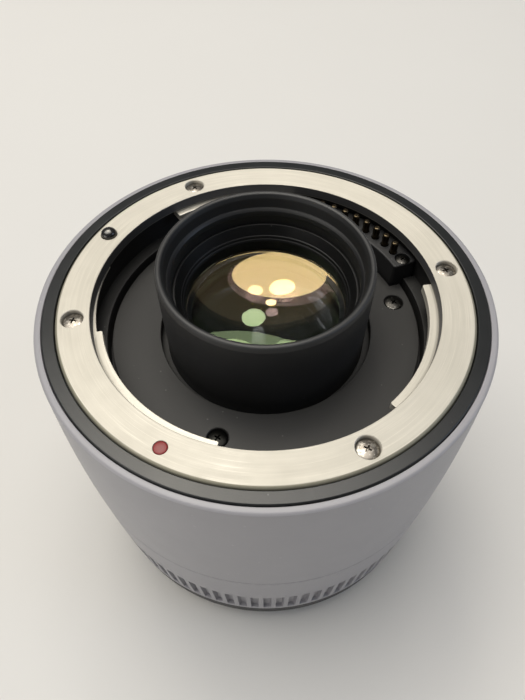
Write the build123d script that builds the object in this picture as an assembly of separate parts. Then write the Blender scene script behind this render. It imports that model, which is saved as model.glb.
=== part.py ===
"""Camera teleconverter, standing on its camera end with the lens end upwards.

Millimetres. The optical axis is Z. Height 0 is the end of the rear bayonet, so the flange faces lie at
rear_boss_length and at front_face. Angles are counted from +X towards +Y, seen from the lens end.
Radii follow from the throat of the mount, and the glass from both it and the length between the flanges.
"""
import os
from math import radians, sqrt

from build123d import *

# Overall
body_length = 57.0
rear_boss_length = 5.8
throat_radius = 27.0
front_face = rear_boss_length + body_length

# Clearances
running_gap = 0.05
seat_gap = 0.1
open_gap = 0.3
cement_gap = 0.01
overrun = 1.0

# Angles round the optical axis, in degrees
index_angle = 242.7
lock_angle = index_angle - 90
contact_offset_angle = 190.3
contact_angle = index_angle - contact_offset_angle
rear_index_angle = index_angle - 60
lug_angles = (224.4, 339.4, 102.6)
lug_sweep_angles = (62.4, 55.2, 48.0)
tab_sweep_angles = (46.0, 50.0, 46.0)
mount_screw_angles = (115.7, 189.7, 295.7, 9.7)
inner_screw_angles = (11.5, 131.5, 251.5)

# Front mount ring
mount_ring_width = 5.2
mount_ring_radius = throat_radius + mount_ring_width
mount_ring_height = 2.4
mount_ring_chamfer = 0.5
throat_chamfer = 0.16
throat_depth = 1.8
lug_depth = 1.45
lug_bore = throat_radius - lug_depth
lug_drop = throat_depth
lug_height = 1.3
clamp_lip_width = 0.65
clamp_lip_height = 0.8
trim_drop = 0.1
trim_chamfer = 0.2

# Barrel shells
rim_band = 3.2
rim_radius = mount_ring_radius + rim_band
rim_drop = 0.33
rim_rounding = 0.5
rim_height = 0.7
rim_width = 1.1
barrel_wall = 2.0
barrel_bore = rim_radius - barrel_wall
barrel_swell = 0.5
widest_radius = rim_radius + barrel_swell
widest_share = 0.298
joint_inset = 0.18
joint_radius = widest_radius - joint_inset
joint_share = 0.526
joint_chamfer = 0.12
foot_inset = 0.92
foot_radius = joint_radius - foot_inset
foot_rise = 5.5
foot_chamfer = 0.3
rib_count = 96
rib_band_height = 8.9
rib_foot_rise = 1.7
rib_groove_share = 0.6
rib_groove_depth = 0.55

# Fasteners
mount_screw_circle = throat_radius + mount_ring_width / 2
mount_screw_head = 1.6
mount_screw_head_height = 0.9
mount_screw_sink = 0.35
mount_screw_shank = 0.8
mount_screw_length = 5.0
small_screw_head = 1.2
small_screw_head_height = 0.7
small_screw_shank = 0.5
small_screw_length = 2.6

# Index marks
lock_offset = 0.23
lock_circle = mount_screw_circle + lock_offset
dot_radius = 0.95
dot_depth = 0.6
dot_rise = 0.04
bead_radius = 0.9
bead_rise = 0.35

# Front frame
frame_flange_radius = barrel_bore - seat_gap
frame_flange_height = 4.0
frame_wall_radius = mount_screw_circle + mount_screw_head
tab_cavity_width = 0.9
tab_cavity_radius = throat_radius + tab_cavity_width
tab_cavity_depth = 2.4
ledge_inset = 1.1
ledge_bore = throat_radius - ledge_inset
web_drop = 9.6
web_thickness = 3.0
skirt_step = 1.3
skirt_radius = frame_wall_radius - skirt_step
skirt_height = 3.0
tube_seat_gap = 0.06

# Lens lock pin and its release
lock_radius = 1.33
lock_rise = 1.6
lock_rounding = 0.6
release_travel = 2.0
slider_thickness = 1.2
slider_half_width = 4.2
slider_height = 5.4
slider_drop = 6.8
arm_half_width = 2.2
arm_height = 1.6
arm_drop = 8.6
arm_reach = 1.43
window_drop = 17.2
lever_thickness = 2.0
lever_half_angle = 6.5
lever_height = 8.6
lever_drop = 5.0
lever_rounding = 0.6
lever_neck_half_width = 1.6
lever_neck_height = 2.8
lever_neck_drop = 8.3
lever_ridge_count = 5
lever_ridge_depth = 0.5
lever_ridge_width = 0.6
lock_spring_radius = 1.25
lock_spring_wire = 0.35

# Lens tube
tube_share = 0.6037
tube_radius = throat_radius * tube_share
tube_rise = 7.05
tube_lip_width = 0.65
tube_lip_radius = tube_radius - tube_lip_width
tube_lip_height = 0.75
tube_lip_inner = tube_lip_radius - tube_lip_width / 2
tube_lip_inner_drop = 0.3
tube_mouth_wall = 1.95
tube_mouth_radius = tube_radius - tube_mouth_wall
tube_mouth_rise = 4.3
tube_step = 0.9
tube_body_radius = tube_radius - tube_step
tube_flange_width = 4.2
tube_flange_radius = tube_radius + tube_flange_width
tube_flange_thickness = 1.8
tube_screw_circle = tube_radius + tube_flange_width / 2
cell_shoulder = 1.4
shoulder_overlap = 1.25

# Front retaining ring
retainer_rise = 1.75
retainer_foot_drop = 2.55
retainer_lip = 0.65
retainer_steps = 4

# Glass. Each element is its front curve, thickness and back curve, listed from the front. Curves are
# shares of the glass radius, positive where a face bulges outwards, and thicknesses of the body length.
glass_wall = 3.4
front_glass_radius = tube_radius - glass_wall
rear_glass_step = 0.9
rear_glass_radius = front_glass_radius - rear_glass_step
glass_seat = 1.3
front_single_shares = ((6.98, 0.070, 4.65),)
front_pair_shares = ((-5.43, 0.025, -2.33), (2.33, 0.098, 6.20))
triplet_shares = ((4.65, 0.026, -1.86), (1.86, 0.158, 1.71), (-1.71, 0.026, -5.43))
rear_pair_shares = ((3.33, 0.105, 2.33), (-2.33, 0.025, -7.50))
rear_single_shares = ((4.58, 0.056, 16.7),)
spacer_wall = 1.2
front_spacer_length = 2.0
rear_spacer_length = 5.0
cell_gap = 0.8

# Front retaining ring's mouth, measured from the tube and from the glass
retainer_edge = 0.45
retainer_mouth = tube_mouth_radius - retainer_edge
retainer_bore = front_glass_radius - spacer_wall

# Floor plate
plate_drop = 7.5
plate_thickness = 1.0
plate_gap = 0.7
plate_radius = ledge_bore - plate_gap
plate_clearance = 1.0
plate_bore = tube_radius + plate_clearance
plate_screw_inset = 2.8
plate_screw_circle = plate_radius - plate_screw_inset
plate_screw_head = 1.5
plate_screw_sink = 0.6
post_radius = 1.9

# Mount leaf springs
leaf_gap = 0.25
leaf_inner_radius = lug_bore + leaf_gap
leaf_width = 1.4
leaf_length = 10.4
leaf_thickness = 0.25
leaf_bow = 0.45

# Contact block and its ten pins. The pins' radii are shares of the distance between them.
contact_count = 10
contact_pitch_angle = 5.2
contact_inset = 0.15
contact_circle = lug_bore - contact_inset
contact_spacing = radians(contact_pitch_angle) * contact_circle
pin_share = 0.275
pin_shoulder_share = 0.39
pin_spring_share = 0.375
pin_wire_share = 0.1
pin_drop = 1.0
pin_tip_chamfer = 0.3
pin_shoulder_height = 0.8
pin_shoulder_drop = 4.6
block_inset = 1.9
block_bore = contact_circle - block_inset
block_radius = tab_cavity_radius - seat_gap
block_drop = 3.2
block_half_angle = 31.2
block_screw_angle = 28.2
block_screw_offset = 0.5
block_screw_circle = contact_circle + block_screw_offset
block_chamfer = 0.3
pocket_margin_angle = 0.7

# Rear frame
rear_web_rise = 6.0
rear_web_thickness = 2.6
rear_frame_inset = 1.0
rear_frame_bore = throat_radius - rear_frame_inset

# Rear lens cell
rear_cell_rise = 2.4
rear_cell_wall = 2.35
rear_cell_radius = rear_glass_radius + rear_cell_wall
rear_cell_flange_width = 4.65
rear_cell_flange_radius = rear_cell_radius + rear_cell_flange_width
rear_cell_flange_thickness = 1.8
rear_cell_screw_circle = rear_cell_radius + rear_cell_flange_width / 2
rear_retainer_height = 2.0
rear_retainer_width = 1.3

# Circuit board and cables
board_drop = 17.6
board_thickness = 1.0
board_gap = 0.6
board_bore = tube_flange_radius + board_gap
board_radius = tab_cavity_radius - board_gap
board_start_angle = 35.0
board_sweep_angle = 295.0
board_screw_circle = (board_bore + board_radius) / 2
board_screw_angles = (110.0, 200.0, 290.0)
chip_length = 8.0
chip_width = 4.4
chip_height = 1.2
chip_angle = 245.0
cable_thickness = 0.15
cable_half_angle = 6.0
cable_slot_margin = 0.4
front_cable_radius = block_radius - seat_gap
rear_cable_radius = rear_frame_bore - open_gap

# Rear mount ring
rear_flange_margin = 0.2
rear_flange_radius = mount_ring_radius + rear_flange_margin
rear_flange_thickness = 2.4
boss_inset = 2.1
boss_radius = throat_radius - boss_inset
boss_wall = 1.6
boss_bore = boss_radius - boss_wall
boss_chamfer = 0.3
tab_margin = 0.2
tab_radius = throat_radius - tab_margin
tab_drop = 3.4
tab_height = 1.3
tab_chamfer = 0.25
lock_slot_radius = 1.6
lock_slot_depth = 1.9

# Camera-end ring, gasket, contacts and baffle
rear_ring_inset = 0.3
gasket_width = 1.6
gasket_radius = rear_flange_radius + gasket_width
gasket_overhang = 0.5
gasket_height = 1.9
gasket_lip_width = 0.4
rear_block_width = 2.9
rear_block_radius = boss_bore - seat_gap
rear_block_bore = rear_block_radius - rear_block_width
rear_block_rise = 0.6
pad_length = 1.7
pad_share = 0.62
pad_rise = 0.12
baffle_thickness = 1.0
baffle_gap = 1.8
baffle_tube_radius = rear_block_bore - baffle_gap
baffle_tube_wall = 1.1
baffle_tube_mouth = baffle_tube_radius - baffle_tube_wall
baffle_throat_gap = 0.55
baffle_tube_throat = rear_cell_radius + baffle_throat_gap
baffle_tube_length = 5.2

# Heights worked out from the sizes above
mount_seat = front_face - mount_ring_height
clamp_level = mount_seat + clamp_lip_height
web_top = front_face - web_drop
web_foot = web_top - web_thickness
skirt_foot = web_foot - skirt_height
plate_top = front_face - plate_drop
plate_foot = plate_top - plate_thickness
block_top = front_face - block_drop
block_foot = web_top + cable_thickness
barrel_joint = front_face - body_length * joint_share
barrel_foot = rear_boss_length + foot_rise
frame_foot = rear_boss_length + rear_flange_thickness
rear_clamp_level = frame_foot - clamp_lip_height
rear_web_height = frame_foot + rear_web_rise
rear_cell_height = frame_foot + rear_cell_rise
board_top = front_face - board_drop
board_foot = board_top - board_thickness
stack_top = front_face - retainer_foot_drop
rear_block_top = frame_foot + baffle_thickness + pad_rise
pin_radius = contact_spacing * pin_share
pin_shoulder_radius = contact_spacing * pin_shoulder_share
pin_spring_radius = contact_spacing * pin_spring_share
upwards = (Align.CENTER, Align.CENTER, Align.MIN)
outwards = (Align.MIN, Align.CENTER, Align.MIN)


def outline_face(*corners):
    """Flat face in the half plane of the optical axis, from (radius, height) corners."""
    return make_face(Plane.XZ * Polyline(*corners, close=True))


def turned(*corners):
    return revolve(outline_face(*corners), Axis.Z)


def sector(start, sweep, *corners):
    """Part of a turned ring, from the angle start over sweep degrees."""
    return Rot(0, 0, start) * revolve(outline_face(*corners), Axis.Z, sweep)


def sleeve(inner, outer, low, high):
    return turned((inner, low), (outer, low), (outer, high), (inner, high))


def arc_block(inner, outer, low, high, middle, half_angle):
    corners = (inner, low), (outer, low), (outer, high), (inner, high)
    return sector(middle - half_angle, 2 * half_angle, *corners)


def peg(radius, low, high):
    return Pos(0, 0, low) * Cylinder(radius, high - low, align=upwards)


def around(radius, angle, height=0):
    """Place at that radius and angle, with its own X pointing outwards."""
    return Rot(0, 0, angle) * Pos(radius, 0, height)


def radial_box(inner, outer, half_width, low, high):
    size = Box(outer - inner, 2 * half_width, high - low, align=outwards)
    return Pos(inner, 0, low) * size


def screw(head, head_height, shank, length):
    """Head with its top at height 0, and the shank below it."""
    return peg(head, -head_height, 0) + peg(shank, -head_height - length, -head_height)


def sag(radius, curve):
    """Depth of a spherical face at that radius, negative where the face is hollow."""
    depth = abs(curve) - sqrt(curve ** 2 - radius ** 2)
    return depth if curve > 0 else -depth


def edge_height(radius, front, thickness, back):
    """Height of an element's cylindrical edge."""
    clear = radius - glass_seat
    return thickness - sag(clear, front) - sag(clear, back)


def element(radius, front, thickness, back, rim_top):
    """One glass. A flat seat surrounds both its faces, and the front one lies at rim_top."""
    clear = radius - glass_seat
    half = clear / 2
    vertex = rim_top + sag(clear, front)
    foot = vertex - thickness
    rim_foot = foot + sag(clear, back)
    front_arc = ThreePointArc((0, vertex), (half, vertex - sag(half, front)), (clear, rim_top))
    edge = Polyline((clear, rim_top), (radius, rim_top), (radius, rim_foot), (clear, rim_foot))
    back_arc = ThreePointArc((clear, rim_foot), (half, foot + sag(half, back)), (0, foot))
    axis_line = Line((0, foot), (0, vertex))
    section = make_face(Plane.XZ * (front_arc + edge + back_arc + axis_line))
    return revolve(section, Axis.Z)


def prescription(radius, shares):
    """Curves and thicknesses in millimetres."""
    return [(front * radius, body_length * thickness, back * radius) for front, thickness, back in shares]


def stack(radius, rim_top, shares):
    """Cemented glasses, the first one's edge starting at rim_top, and the height of their foot."""
    solids = []
    for front, thickness, back in prescription(radius, shares):
        solids.append(element(radius, front, thickness, back, rim_top))
        rim_top -= edge_height(radius, front, thickness, back) + cement_gap
    return solids, rim_top + cement_gap


def stack_height(radius, shares):
    return -stack_foot(radius, 0, shares)


def stack_foot(radius, rim_top, shares):
    heights = [edge_height(radius, *glass) for glass in prescription(radius, shares)]
    return rim_top - sum(heights) - cement_gap * (len(heights) - 1)


# Barrel

def barrel_curve():
    """Outside of the front barrel, from its rim to the joint between the barrels."""
    return ThreePointArc(
        (rim_radius, front_face - rim_drop - rim_height),
        (widest_radius, front_face - body_length * widest_share),
        (joint_radius, barrel_joint),
    )


def front_barrel():
    rim_top = front_face - rim_drop
    recess = rim_radius - rim_width
    inside = Polyline(
        (joint_radius, barrel_joint), (barrel_bore, barrel_joint), (barrel_bore, mount_seat),
        (recess, mount_seat), (recess, rim_top), (rim_radius, rim_top), (rim_radius, rim_top - rim_height),
    )
    wall = revolve(make_face(Plane.XZ * (barrel_curve() + inside)), Axis.Z)
    wall = fillet(wall.edges().group_by(Axis.Z)[-1].sort_by(SortBy.LENGTH)[-1], rim_rounding)
    wall = chamfer(wall.edges().group_by(Axis.Z)[0].sort_by(SortBy.LENGTH)[-1], joint_chamfer)
    slot_top = front_face - lever_neck_drop + open_gap
    slot_foot = slot_top - lever_neck_height - release_travel - 2 * open_gap
    half_width = lever_neck_half_width + open_gap
    slot = radial_box(barrel_bore - overrun, widest_radius + overrun, half_width, slot_foot, slot_top)
    return wall - Rot(0, 0, lock_angle) * slot


def rear_barrel():
    top = barrel_joint - cement_gap
    shoulder = (joint_radius, top - joint_chamfer)
    curve = TangentArc(shoulder, (foot_radius, barrel_foot), tangent=barrel_curve() % 1)
    inside = Polyline(
        (foot_radius, barrel_foot), (barrel_bore, barrel_foot), (barrel_bore, top),
        (joint_radius - joint_chamfer, top), shoulder,
    )
    wall = revolve(make_face(Plane.XZ * (curve + inside)), Axis.Z)
    wall = chamfer(wall.edges().group_by(Axis.Z)[0].sort_by(SortBy.LENGTH)[-1], foot_chamfer)
    rib_foot = barrel_foot + rib_foot_rise
    floor = foot_radius - rib_groove_depth
    half_width = radians(360 / rib_count) * foot_radius * rib_groove_share / 2
    groove = radial_box(floor, widest_radius + overrun, half_width, rib_foot, rib_foot + rib_band_height)
    grooves = [Rot(0, 0, 360 / rib_count * index) * groove for index in range(rib_count)]
    return wall - grooves


def front_trim_ring():
    lip_bore = mount_ring_radius - clamp_lip_width + seat_gap
    collar_bore = mount_ring_radius + seat_gap
    collar_radius = rim_radius - rim_width - seat_gap
    top = front_face - trim_drop
    ring = turned(
        (lip_bore, mount_seat), (collar_radius, mount_seat), (collar_radius, top),
        (collar_bore, top), (collar_bore, clamp_level), (lip_bore, clamp_level),
    )
    return chamfer(ring.edges().group_by(Axis.Z)[-1], trim_chamfer)


# Front mount

def front_mount_ring():
    lip_radius = mount_ring_radius - clamp_lip_width
    ring = turned(
        (throat_radius, front_face), (mount_ring_radius, front_face), (mount_ring_radius, clamp_level),
        (lip_radius, clamp_level), (lip_radius, mount_seat), (tab_cavity_radius, mount_seat),
        (tab_cavity_radius, front_face - throat_depth), (throat_radius, front_face - throat_depth),
    )
    top_edges = ring.edges().group_by(Axis.Z)[-1].sort_by(SortBy.LENGTH)
    ring = chamfer(top_edges[-1], mount_ring_chamfer)
    ring = chamfer(ring.edges().group_by(Axis.Z)[-1].sort_by(SortBy.LENGTH)[0], throat_chamfer)
    lug_top = front_face - lug_drop
    lug_foot = lug_top - lug_height
    lug_radius = tab_cavity_radius - running_gap
    root_radius = tab_cavity_radius + seat_gap
    for middle, width in zip(lug_angles, lug_sweep_angles):
        ring += arc_block(lug_bore, lug_radius, lug_foot, lug_top, middle, width / 2)
        ring += arc_block(lug_bore, root_radius, mount_seat, lug_top, middle, width / 2)
    head_hole = peg(mount_screw_head + seat_gap, screw_seat(), front_face + overrun)
    shank_hole = peg(mount_screw_shank + running_gap, mount_seat - overrun, front_face)
    for angle in mount_screw_angles:
        ring -= around(mount_screw_circle, angle) * (head_hole + shank_hole)
    ring -= around(lock_circle, lock_angle) * lock_bore()
    dot_floor = front_face - dot_depth
    ring -= around(lock_circle, index_angle) * peg(dot_radius + running_gap, dot_floor, front_face + overrun)
    return ring


def screw_seat():
    """Height of the floor of the mount ring's screw recesses."""
    return front_face - mount_screw_sink - mount_screw_head_height


def lock_bore():
    return peg(lock_radius + running_gap, front_face - slider_drop, front_face + overrun)


def front_mount_screws():
    top = front_face - mount_screw_sink
    one = screw(mount_screw_head, mount_screw_head_height, mount_screw_shank, mount_screw_length)
    return [around(mount_screw_circle, angle, top) * one for angle in mount_screw_angles]


def front_index_dot():
    dot = peg(dot_radius, front_face - dot_depth, front_face + dot_rise)
    return around(lock_circle, index_angle) * dot


def mount_leaf_springs():
    """Bowed leaves that rest with both ends against the underside of a lug."""
    lug_foot = front_face - lug_drop - lug_height
    half = leaf_length / 2
    upper = ThreePointArc((-half, lug_foot), (0, lug_foot - leaf_bow), (half, lug_foot))
    lower = ThreePointArc(
        (half, lug_foot - leaf_thickness),
        (0, lug_foot - leaf_bow - leaf_thickness),
        (-half, lug_foot - leaf_thickness),
    )
    ends = Line(upper @ 1, lower @ 0) + Line(lower @ 1, upper @ 0)
    leaf = extrude(make_face(Plane.YZ * (upper + lower + ends)), leaf_width, dir=Plane.YZ.z_dir)
    return [around(leaf_inner_radius, middle) * leaf for middle in lug_angles]


# Frames

def release_window():
    """Room for the slider's arm, the lock pin and its spring, at angle 0."""
    inner = lock_circle - arm_reach - open_gap
    half_width = arm_half_width + open_gap
    top = front_face - slider_drop + open_gap
    return radial_box(inner, frame_wall_radius + overrun, half_width, front_face - window_drop, top)


def cable_slot(radius, low, high):
    inner = radius - cable_thickness - cable_slot_margin
    outer = radius + cable_slot_margin
    return arc_block(inner, outer, low, high, contact_angle, cable_half_angle + 1)


def front_frame():
    ledge_top = mount_seat - tab_cavity_depth
    flange_foot = mount_seat - frame_flange_height
    tube_bore = tube_radius + tube_seat_gap
    frame = turned(
        (tab_cavity_radius, mount_seat), (frame_flange_radius, mount_seat),
        (frame_flange_radius, flange_foot), (frame_wall_radius, flange_foot),
        (frame_wall_radius, web_foot), (skirt_radius, web_foot), (skirt_radius, skirt_foot),
        (tab_cavity_radius, skirt_foot), (tab_cavity_radius, web_foot), (tube_bore, web_foot),
        (tube_bore, web_top), (ledge_bore, web_top), (ledge_bore, ledge_top),
        (tab_cavity_radius, ledge_top),
    )
    pocket_half_angle = block_half_angle + pocket_margin_angle
    frame -= arc_block(
        ledge_bore - overrun, tab_cavity_radius, web_top, mount_seat + overrun,
        contact_angle, pocket_half_angle,
    )
    frame -= Rot(0, 0, lock_angle) * release_window()
    frame -= around(lock_circle, lock_angle) * lock_bore()
    frame -= cable_slot(front_cable_radius, web_foot - overrun, web_top + overrun)
    mount_hole_foot = front_face - mount_screw_sink - mount_screw_head_height - mount_screw_length
    mount_hole = peg(mount_screw_shank + running_gap, mount_hole_foot - seat_gap, mount_seat + overrun)
    for angle in mount_screw_angles:
        frame -= around(mount_screw_circle, angle) * mount_hole
    post = peg(post_radius, web_top, plate_foot)
    small_hole = small_screw_shank + running_gap
    post_hole = peg(small_hole, plate_foot - small_screw_length - seat_gap, plate_foot + overrun)
    for angle in inner_screw_angles:
        frame += around(plate_screw_circle, angle) * post
        frame -= around(plate_screw_circle, angle) * post_hole
    board_post = peg(post_radius, board_top, web_foot)
    board_hole = peg(small_hole, board_top - overrun, board_top + small_screw_length)
    for angle in board_screw_angles:
        frame += around(board_screw_circle, angle) * board_post
        frame -= around(board_screw_circle, angle) * board_hole
    tube_hole = peg(small_hole, web_foot - overrun, web_foot + small_screw_length - tube_flange_thickness)
    for angle in inner_screw_angles:
        frame -= around(tube_screw_circle, angle) * tube_hole
    block_hole = peg(small_hole, web_top - small_screw_length, web_top + overrun)
    for side in (-1, 1):
        frame -= around(block_screw_circle, contact_angle + side * block_screw_angle) * block_hole
    return frame


def rear_frame():
    socket = skirt_radius + running_gap
    web_top_height = rear_web_height + rear_web_thickness
    flange_top = frame_foot + frame_flange_height
    cell_bore = rear_cell_radius + tube_seat_gap
    frame = turned(
        (socket, web_foot), (frame_wall_radius, web_foot), (frame_wall_radius, flange_top),
        (frame_flange_radius, flange_top), (frame_flange_radius, frame_foot),
        (rear_frame_bore, frame_foot), (rear_frame_bore, rear_web_height),
        (cell_bore, rear_web_height), (cell_bore, web_top_height),
        (tab_cavity_radius, web_top_height), (tab_cavity_radius, skirt_foot), (socket, skirt_foot),
    )
    frame -= Rot(0, 0, lock_angle) * release_window()
    frame -= cable_slot(rear_cable_radius, rear_web_height - overrun, web_top_height + overrun)
    hole_top = rear_boss_length + mount_screw_sink + mount_screw_head_height + mount_screw_length
    mount_hole = peg(mount_screw_shank + running_gap, frame_foot - overrun, hole_top + seat_gap)
    for angle in mount_screw_angles:
        frame -= around(mount_screw_circle, angle) * mount_hole
    hole_depth = small_screw_length - rear_cell_flange_thickness + seat_gap
    cell_hole = peg(small_screw_shank + running_gap, rear_web_height - overrun, rear_web_height + hole_depth)
    for angle in inner_screw_angles:
        frame -= around(rear_cell_screw_circle, angle) * cell_hole
    return frame


# Floor of the front well

def floor_plate():
    plate = sleeve(plate_bore, plate_radius, plate_foot, plate_top)
    notch_bore = block_bore - open_gap
    plate -= arc_block(
        notch_bore, plate_radius + overrun, plate_foot - overrun, plate_top + overrun,
        contact_angle, block_half_angle + pocket_margin_angle,
    )
    seat = plate_top - plate_screw_sink
    head_hole = peg(plate_screw_head + seat_gap, seat, plate_top + overrun)
    shank_hole = peg(small_screw_shank + running_gap, plate_foot - overrun, plate_top)
    for angle in inner_screw_angles:
        plate -= around(plate_screw_circle, angle) * (head_hole + shank_hole)
    return plate


def floor_plate_screws():
    seat = plate_top - plate_screw_sink
    one = screw(plate_screw_head, small_screw_head_height, small_screw_shank, small_screw_length)
    top = seat + small_screw_head_height
    return [around(plate_screw_circle, angle, top) * one for angle in inner_screw_angles]


# Contacts

def contact_angles():
    first = contact_angle - contact_pitch_angle * (contact_count - 1) / 2
    return [first + contact_pitch_angle * index for index in range(contact_count)]


def contact_block():
    block = arc_block(block_bore, block_radius, block_foot, block_top, contact_angle, block_half_angle)
    block = chamfer(block.edges().group_by(Axis.Z)[-1], block_chamfer)
    shoulder_top = front_face - pin_shoulder_drop
    chamber = peg(pin_shoulder_radius + 2 * running_gap, block_foot - overrun, shoulder_top)
    mouth = peg(pin_radius + running_gap, shoulder_top, block_top + overrun)
    for angle in contact_angles():
        block -= around(contact_circle, angle) * (chamber + mouth)
    seat = block_top - small_screw_head_height
    head_hole = peg(small_screw_head + seat_gap, seat, block_top + overrun)
    shank_hole = peg(small_screw_shank + running_gap, block_foot - overrun, block_top)
    for side in (-1, 1):
        place = around(block_screw_circle, contact_angle + side * block_screw_angle)
        block -= place * (head_hole + shank_hole)
    return block


def contact_pin():
    tip = front_face - pin_drop
    shoulder_top = front_face - pin_shoulder_drop
    stem = peg(pin_radius, shoulder_top, tip)
    stem = chamfer(stem.edges().group_by(Axis.Z)[-1], pin_tip_chamfer)
    return stem + peg(pin_shoulder_radius, shoulder_top - pin_shoulder_height, shoulder_top)


def contact_springs():
    top = front_face - pin_shoulder_drop - pin_shoulder_height
    inner = pin_spring_radius - contact_spacing * pin_wire_share
    one = sleeve(inner, pin_spring_radius, block_foot, top)
    return [around(contact_circle, angle) * one for angle in contact_angles()]


def contact_block_screws():
    long_shank = block_top - small_screw_head_height - web_top + small_screw_length - seat_gap
    one = screw(small_screw_head, small_screw_head_height, small_screw_shank, long_shank)
    angles = [contact_angle + side * block_screw_angle for side in (-1, 1)]
    return [around(block_screw_circle, angle, block_top) * one for angle in angles]


# Lens tube and its glass

def front_stack():
    """The front six glasses, the tops of their two spacers, and the foot of the last glass."""
    radius = front_glass_radius
    single, single_foot = stack(radius, stack_top, front_single_shares)
    pair, pair_foot = stack(radius, single_foot - front_spacer_length, front_pair_shares)
    foot = tube_foot() + cell_shoulder
    triplet_top = foot + stack_height(radius, triplet_shares)
    triplet, _ = stack(radius, triplet_top, triplet_shares)
    return single + pair + triplet, single_foot, (pair_foot, triplet_top), foot


def rear_stack():
    """The rear three glasses, with the foot of the pair and the top of the single glass between them."""
    radius = rear_glass_radius
    last_top = rear_cell_height + rear_retainer_height + stack_height(radius, rear_single_shares)
    pair_foot = last_top + rear_spacer_length
    pair_top = pair_foot + stack_height(radius, rear_pair_shares)
    pair, _ = stack(radius, pair_top, rear_pair_shares)
    single, _ = stack(radius, last_top, rear_single_shares)
    return pair + single, last_top, pair_foot, pair_top


def rear_cell_top():
    _, _, _, pair_top = rear_stack()
    return pair_top + cell_shoulder


def tube_foot():
    return rear_cell_top() + cell_gap


def lens_tube():
    low = tube_foot()
    shoulder_top = low + cell_shoulder
    flange_foot = web_foot - tube_flange_thickness
    bore = front_glass_radius + running_gap
    lip_top = front_face + tube_rise
    lip_outer = (tube_radius, lip_top - tube_lip_height)
    lip_inner = (tube_lip_inner, lip_top - tube_lip_inner_drop)
    lip = ThreePointArc(lip_outer, (tube_lip_radius, lip_top), lip_inner)
    wall = Polyline(
        lip_inner, (tube_mouth_radius, front_face + tube_mouth_rise),
        (tube_mouth_radius, stack_top), (bore, stack_top), (bore, shoulder_top),
        (bore - shoulder_overlap, shoulder_top), (bore - shoulder_overlap, low),
        (tube_body_radius, low), (tube_body_radius, flange_foot),
        (tube_flange_radius, flange_foot), (tube_flange_radius, web_foot),
        (tube_radius, web_foot), lip_outer,
    )
    tube = revolve(make_face(Plane.XZ * (lip + wall)), Axis.Z)
    hole = peg(small_screw_shank + running_gap, flange_foot - overrun, web_foot + overrun)
    for angle in inner_screw_angles:
        tube -= around(tube_screw_circle, angle) * hole
    return tube


def lens_tube_screws():
    one = Rot(180, 0, 0) * screw(small_screw_head, small_screw_head_height, small_screw_shank, small_screw_length - seat_gap)
    foot = web_foot - tube_flange_thickness - small_screw_head_height
    return [around(tube_screw_circle, angle, foot) * one for angle in inner_screw_angles]


def front_retaining_ring():
    outer = tube_mouth_radius - running_gap
    top = front_face + retainer_rise
    lip_top = stack_top + retainer_lip
    tread = (retainer_mouth - retainer_bore) / retainer_steps
    riser = (top - lip_top) / retainer_steps
    steps = []
    for index in range(retainer_steps):
        radius = retainer_mouth - tread * index
        steps.append((radius, top - riser * index))
        steps.append((radius - tread / 2, top - riser * (index + 1)))
    corners = [(outer, stack_top), (outer, top)] + steps + [(retainer_bore, lip_top), (retainer_bore, stack_top)]
    return turned(*corners)


def spacer(radius, low, high):
    outer = radius - running_gap
    return sleeve(outer - spacer_wall, outer, low, high)


def rear_lens_cell():
    _, _, _, pair_top = rear_stack()
    bore = rear_glass_radius + running_gap
    mouth = bore + rear_retainer_width
    retainer_top = rear_cell_height + rear_retainer_height
    top = pair_top + cell_shoulder
    flange_top = rear_web_height
    flange_foot = flange_top - rear_cell_flange_thickness
    outer = rear_cell_radius
    cell = turned(
        (bore - shoulder_overlap, top), (outer, top), (outer, flange_top),
        (rear_cell_flange_radius, flange_top), (rear_cell_flange_radius, flange_foot),
        (outer, flange_foot), (outer, rear_cell_height), (mouth, rear_cell_height),
        (mouth, retainer_top), (bore, retainer_top), (bore, pair_top), (bore - shoulder_overlap, pair_top),
    )
    hole = peg(small_screw_shank + running_gap, flange_foot - overrun, flange_top + overrun)
    for angle in inner_screw_angles:
        cell -= around(rear_cell_screw_circle, angle) * hole
    return cell


def rear_cell_screws():
    one = Rot(180, 0, 0) * screw(small_screw_head, small_screw_head_height, small_screw_shank, small_screw_length)
    foot = rear_web_height - rear_cell_flange_thickness - small_screw_head_height
    return [around(rear_cell_screw_circle, angle, foot) * one for angle in inner_screw_angles]


def rear_retaining_ring():
    outer = rear_glass_radius + rear_retainer_width
    inner = rear_glass_radius - shoulder_overlap
    return sleeve(inner, outer, rear_cell_height, rear_cell_height + rear_retainer_height)


# Circuit board and cables

def circuit_board():
    board = sector(
        board_start_angle, board_sweep_angle,
        (board_bore, board_foot), (board_radius, board_foot), (board_radius, board_top), (board_bore, board_top),
    )
    hole = peg(small_screw_shank + running_gap, board_foot - overrun, board_top + overrun)
    for angle in board_screw_angles:
        board -= around(board_screw_circle, angle) * hole
    return board


def circuit_chip():
    chip = Pos(0, 0, board_foot - chip_height) * Box(chip_width, chip_length, chip_height, align=upwards)
    return Rot(0, 0, chip_angle) * Pos(board_screw_circle, 0, 0) * chip


def circuit_board_screws():
    one = Rot(180, 0, 0) * screw(small_screw_head, small_screw_head_height, small_screw_shank, small_screw_length)
    foot = board_foot - small_screw_head_height
    return [around(board_screw_circle, angle, foot) * one for angle in board_screw_angles]


def cable_strip(inner, outer, low, high):
    return arc_block(inner, outer, low, high, contact_angle, cable_half_angle)


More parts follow.
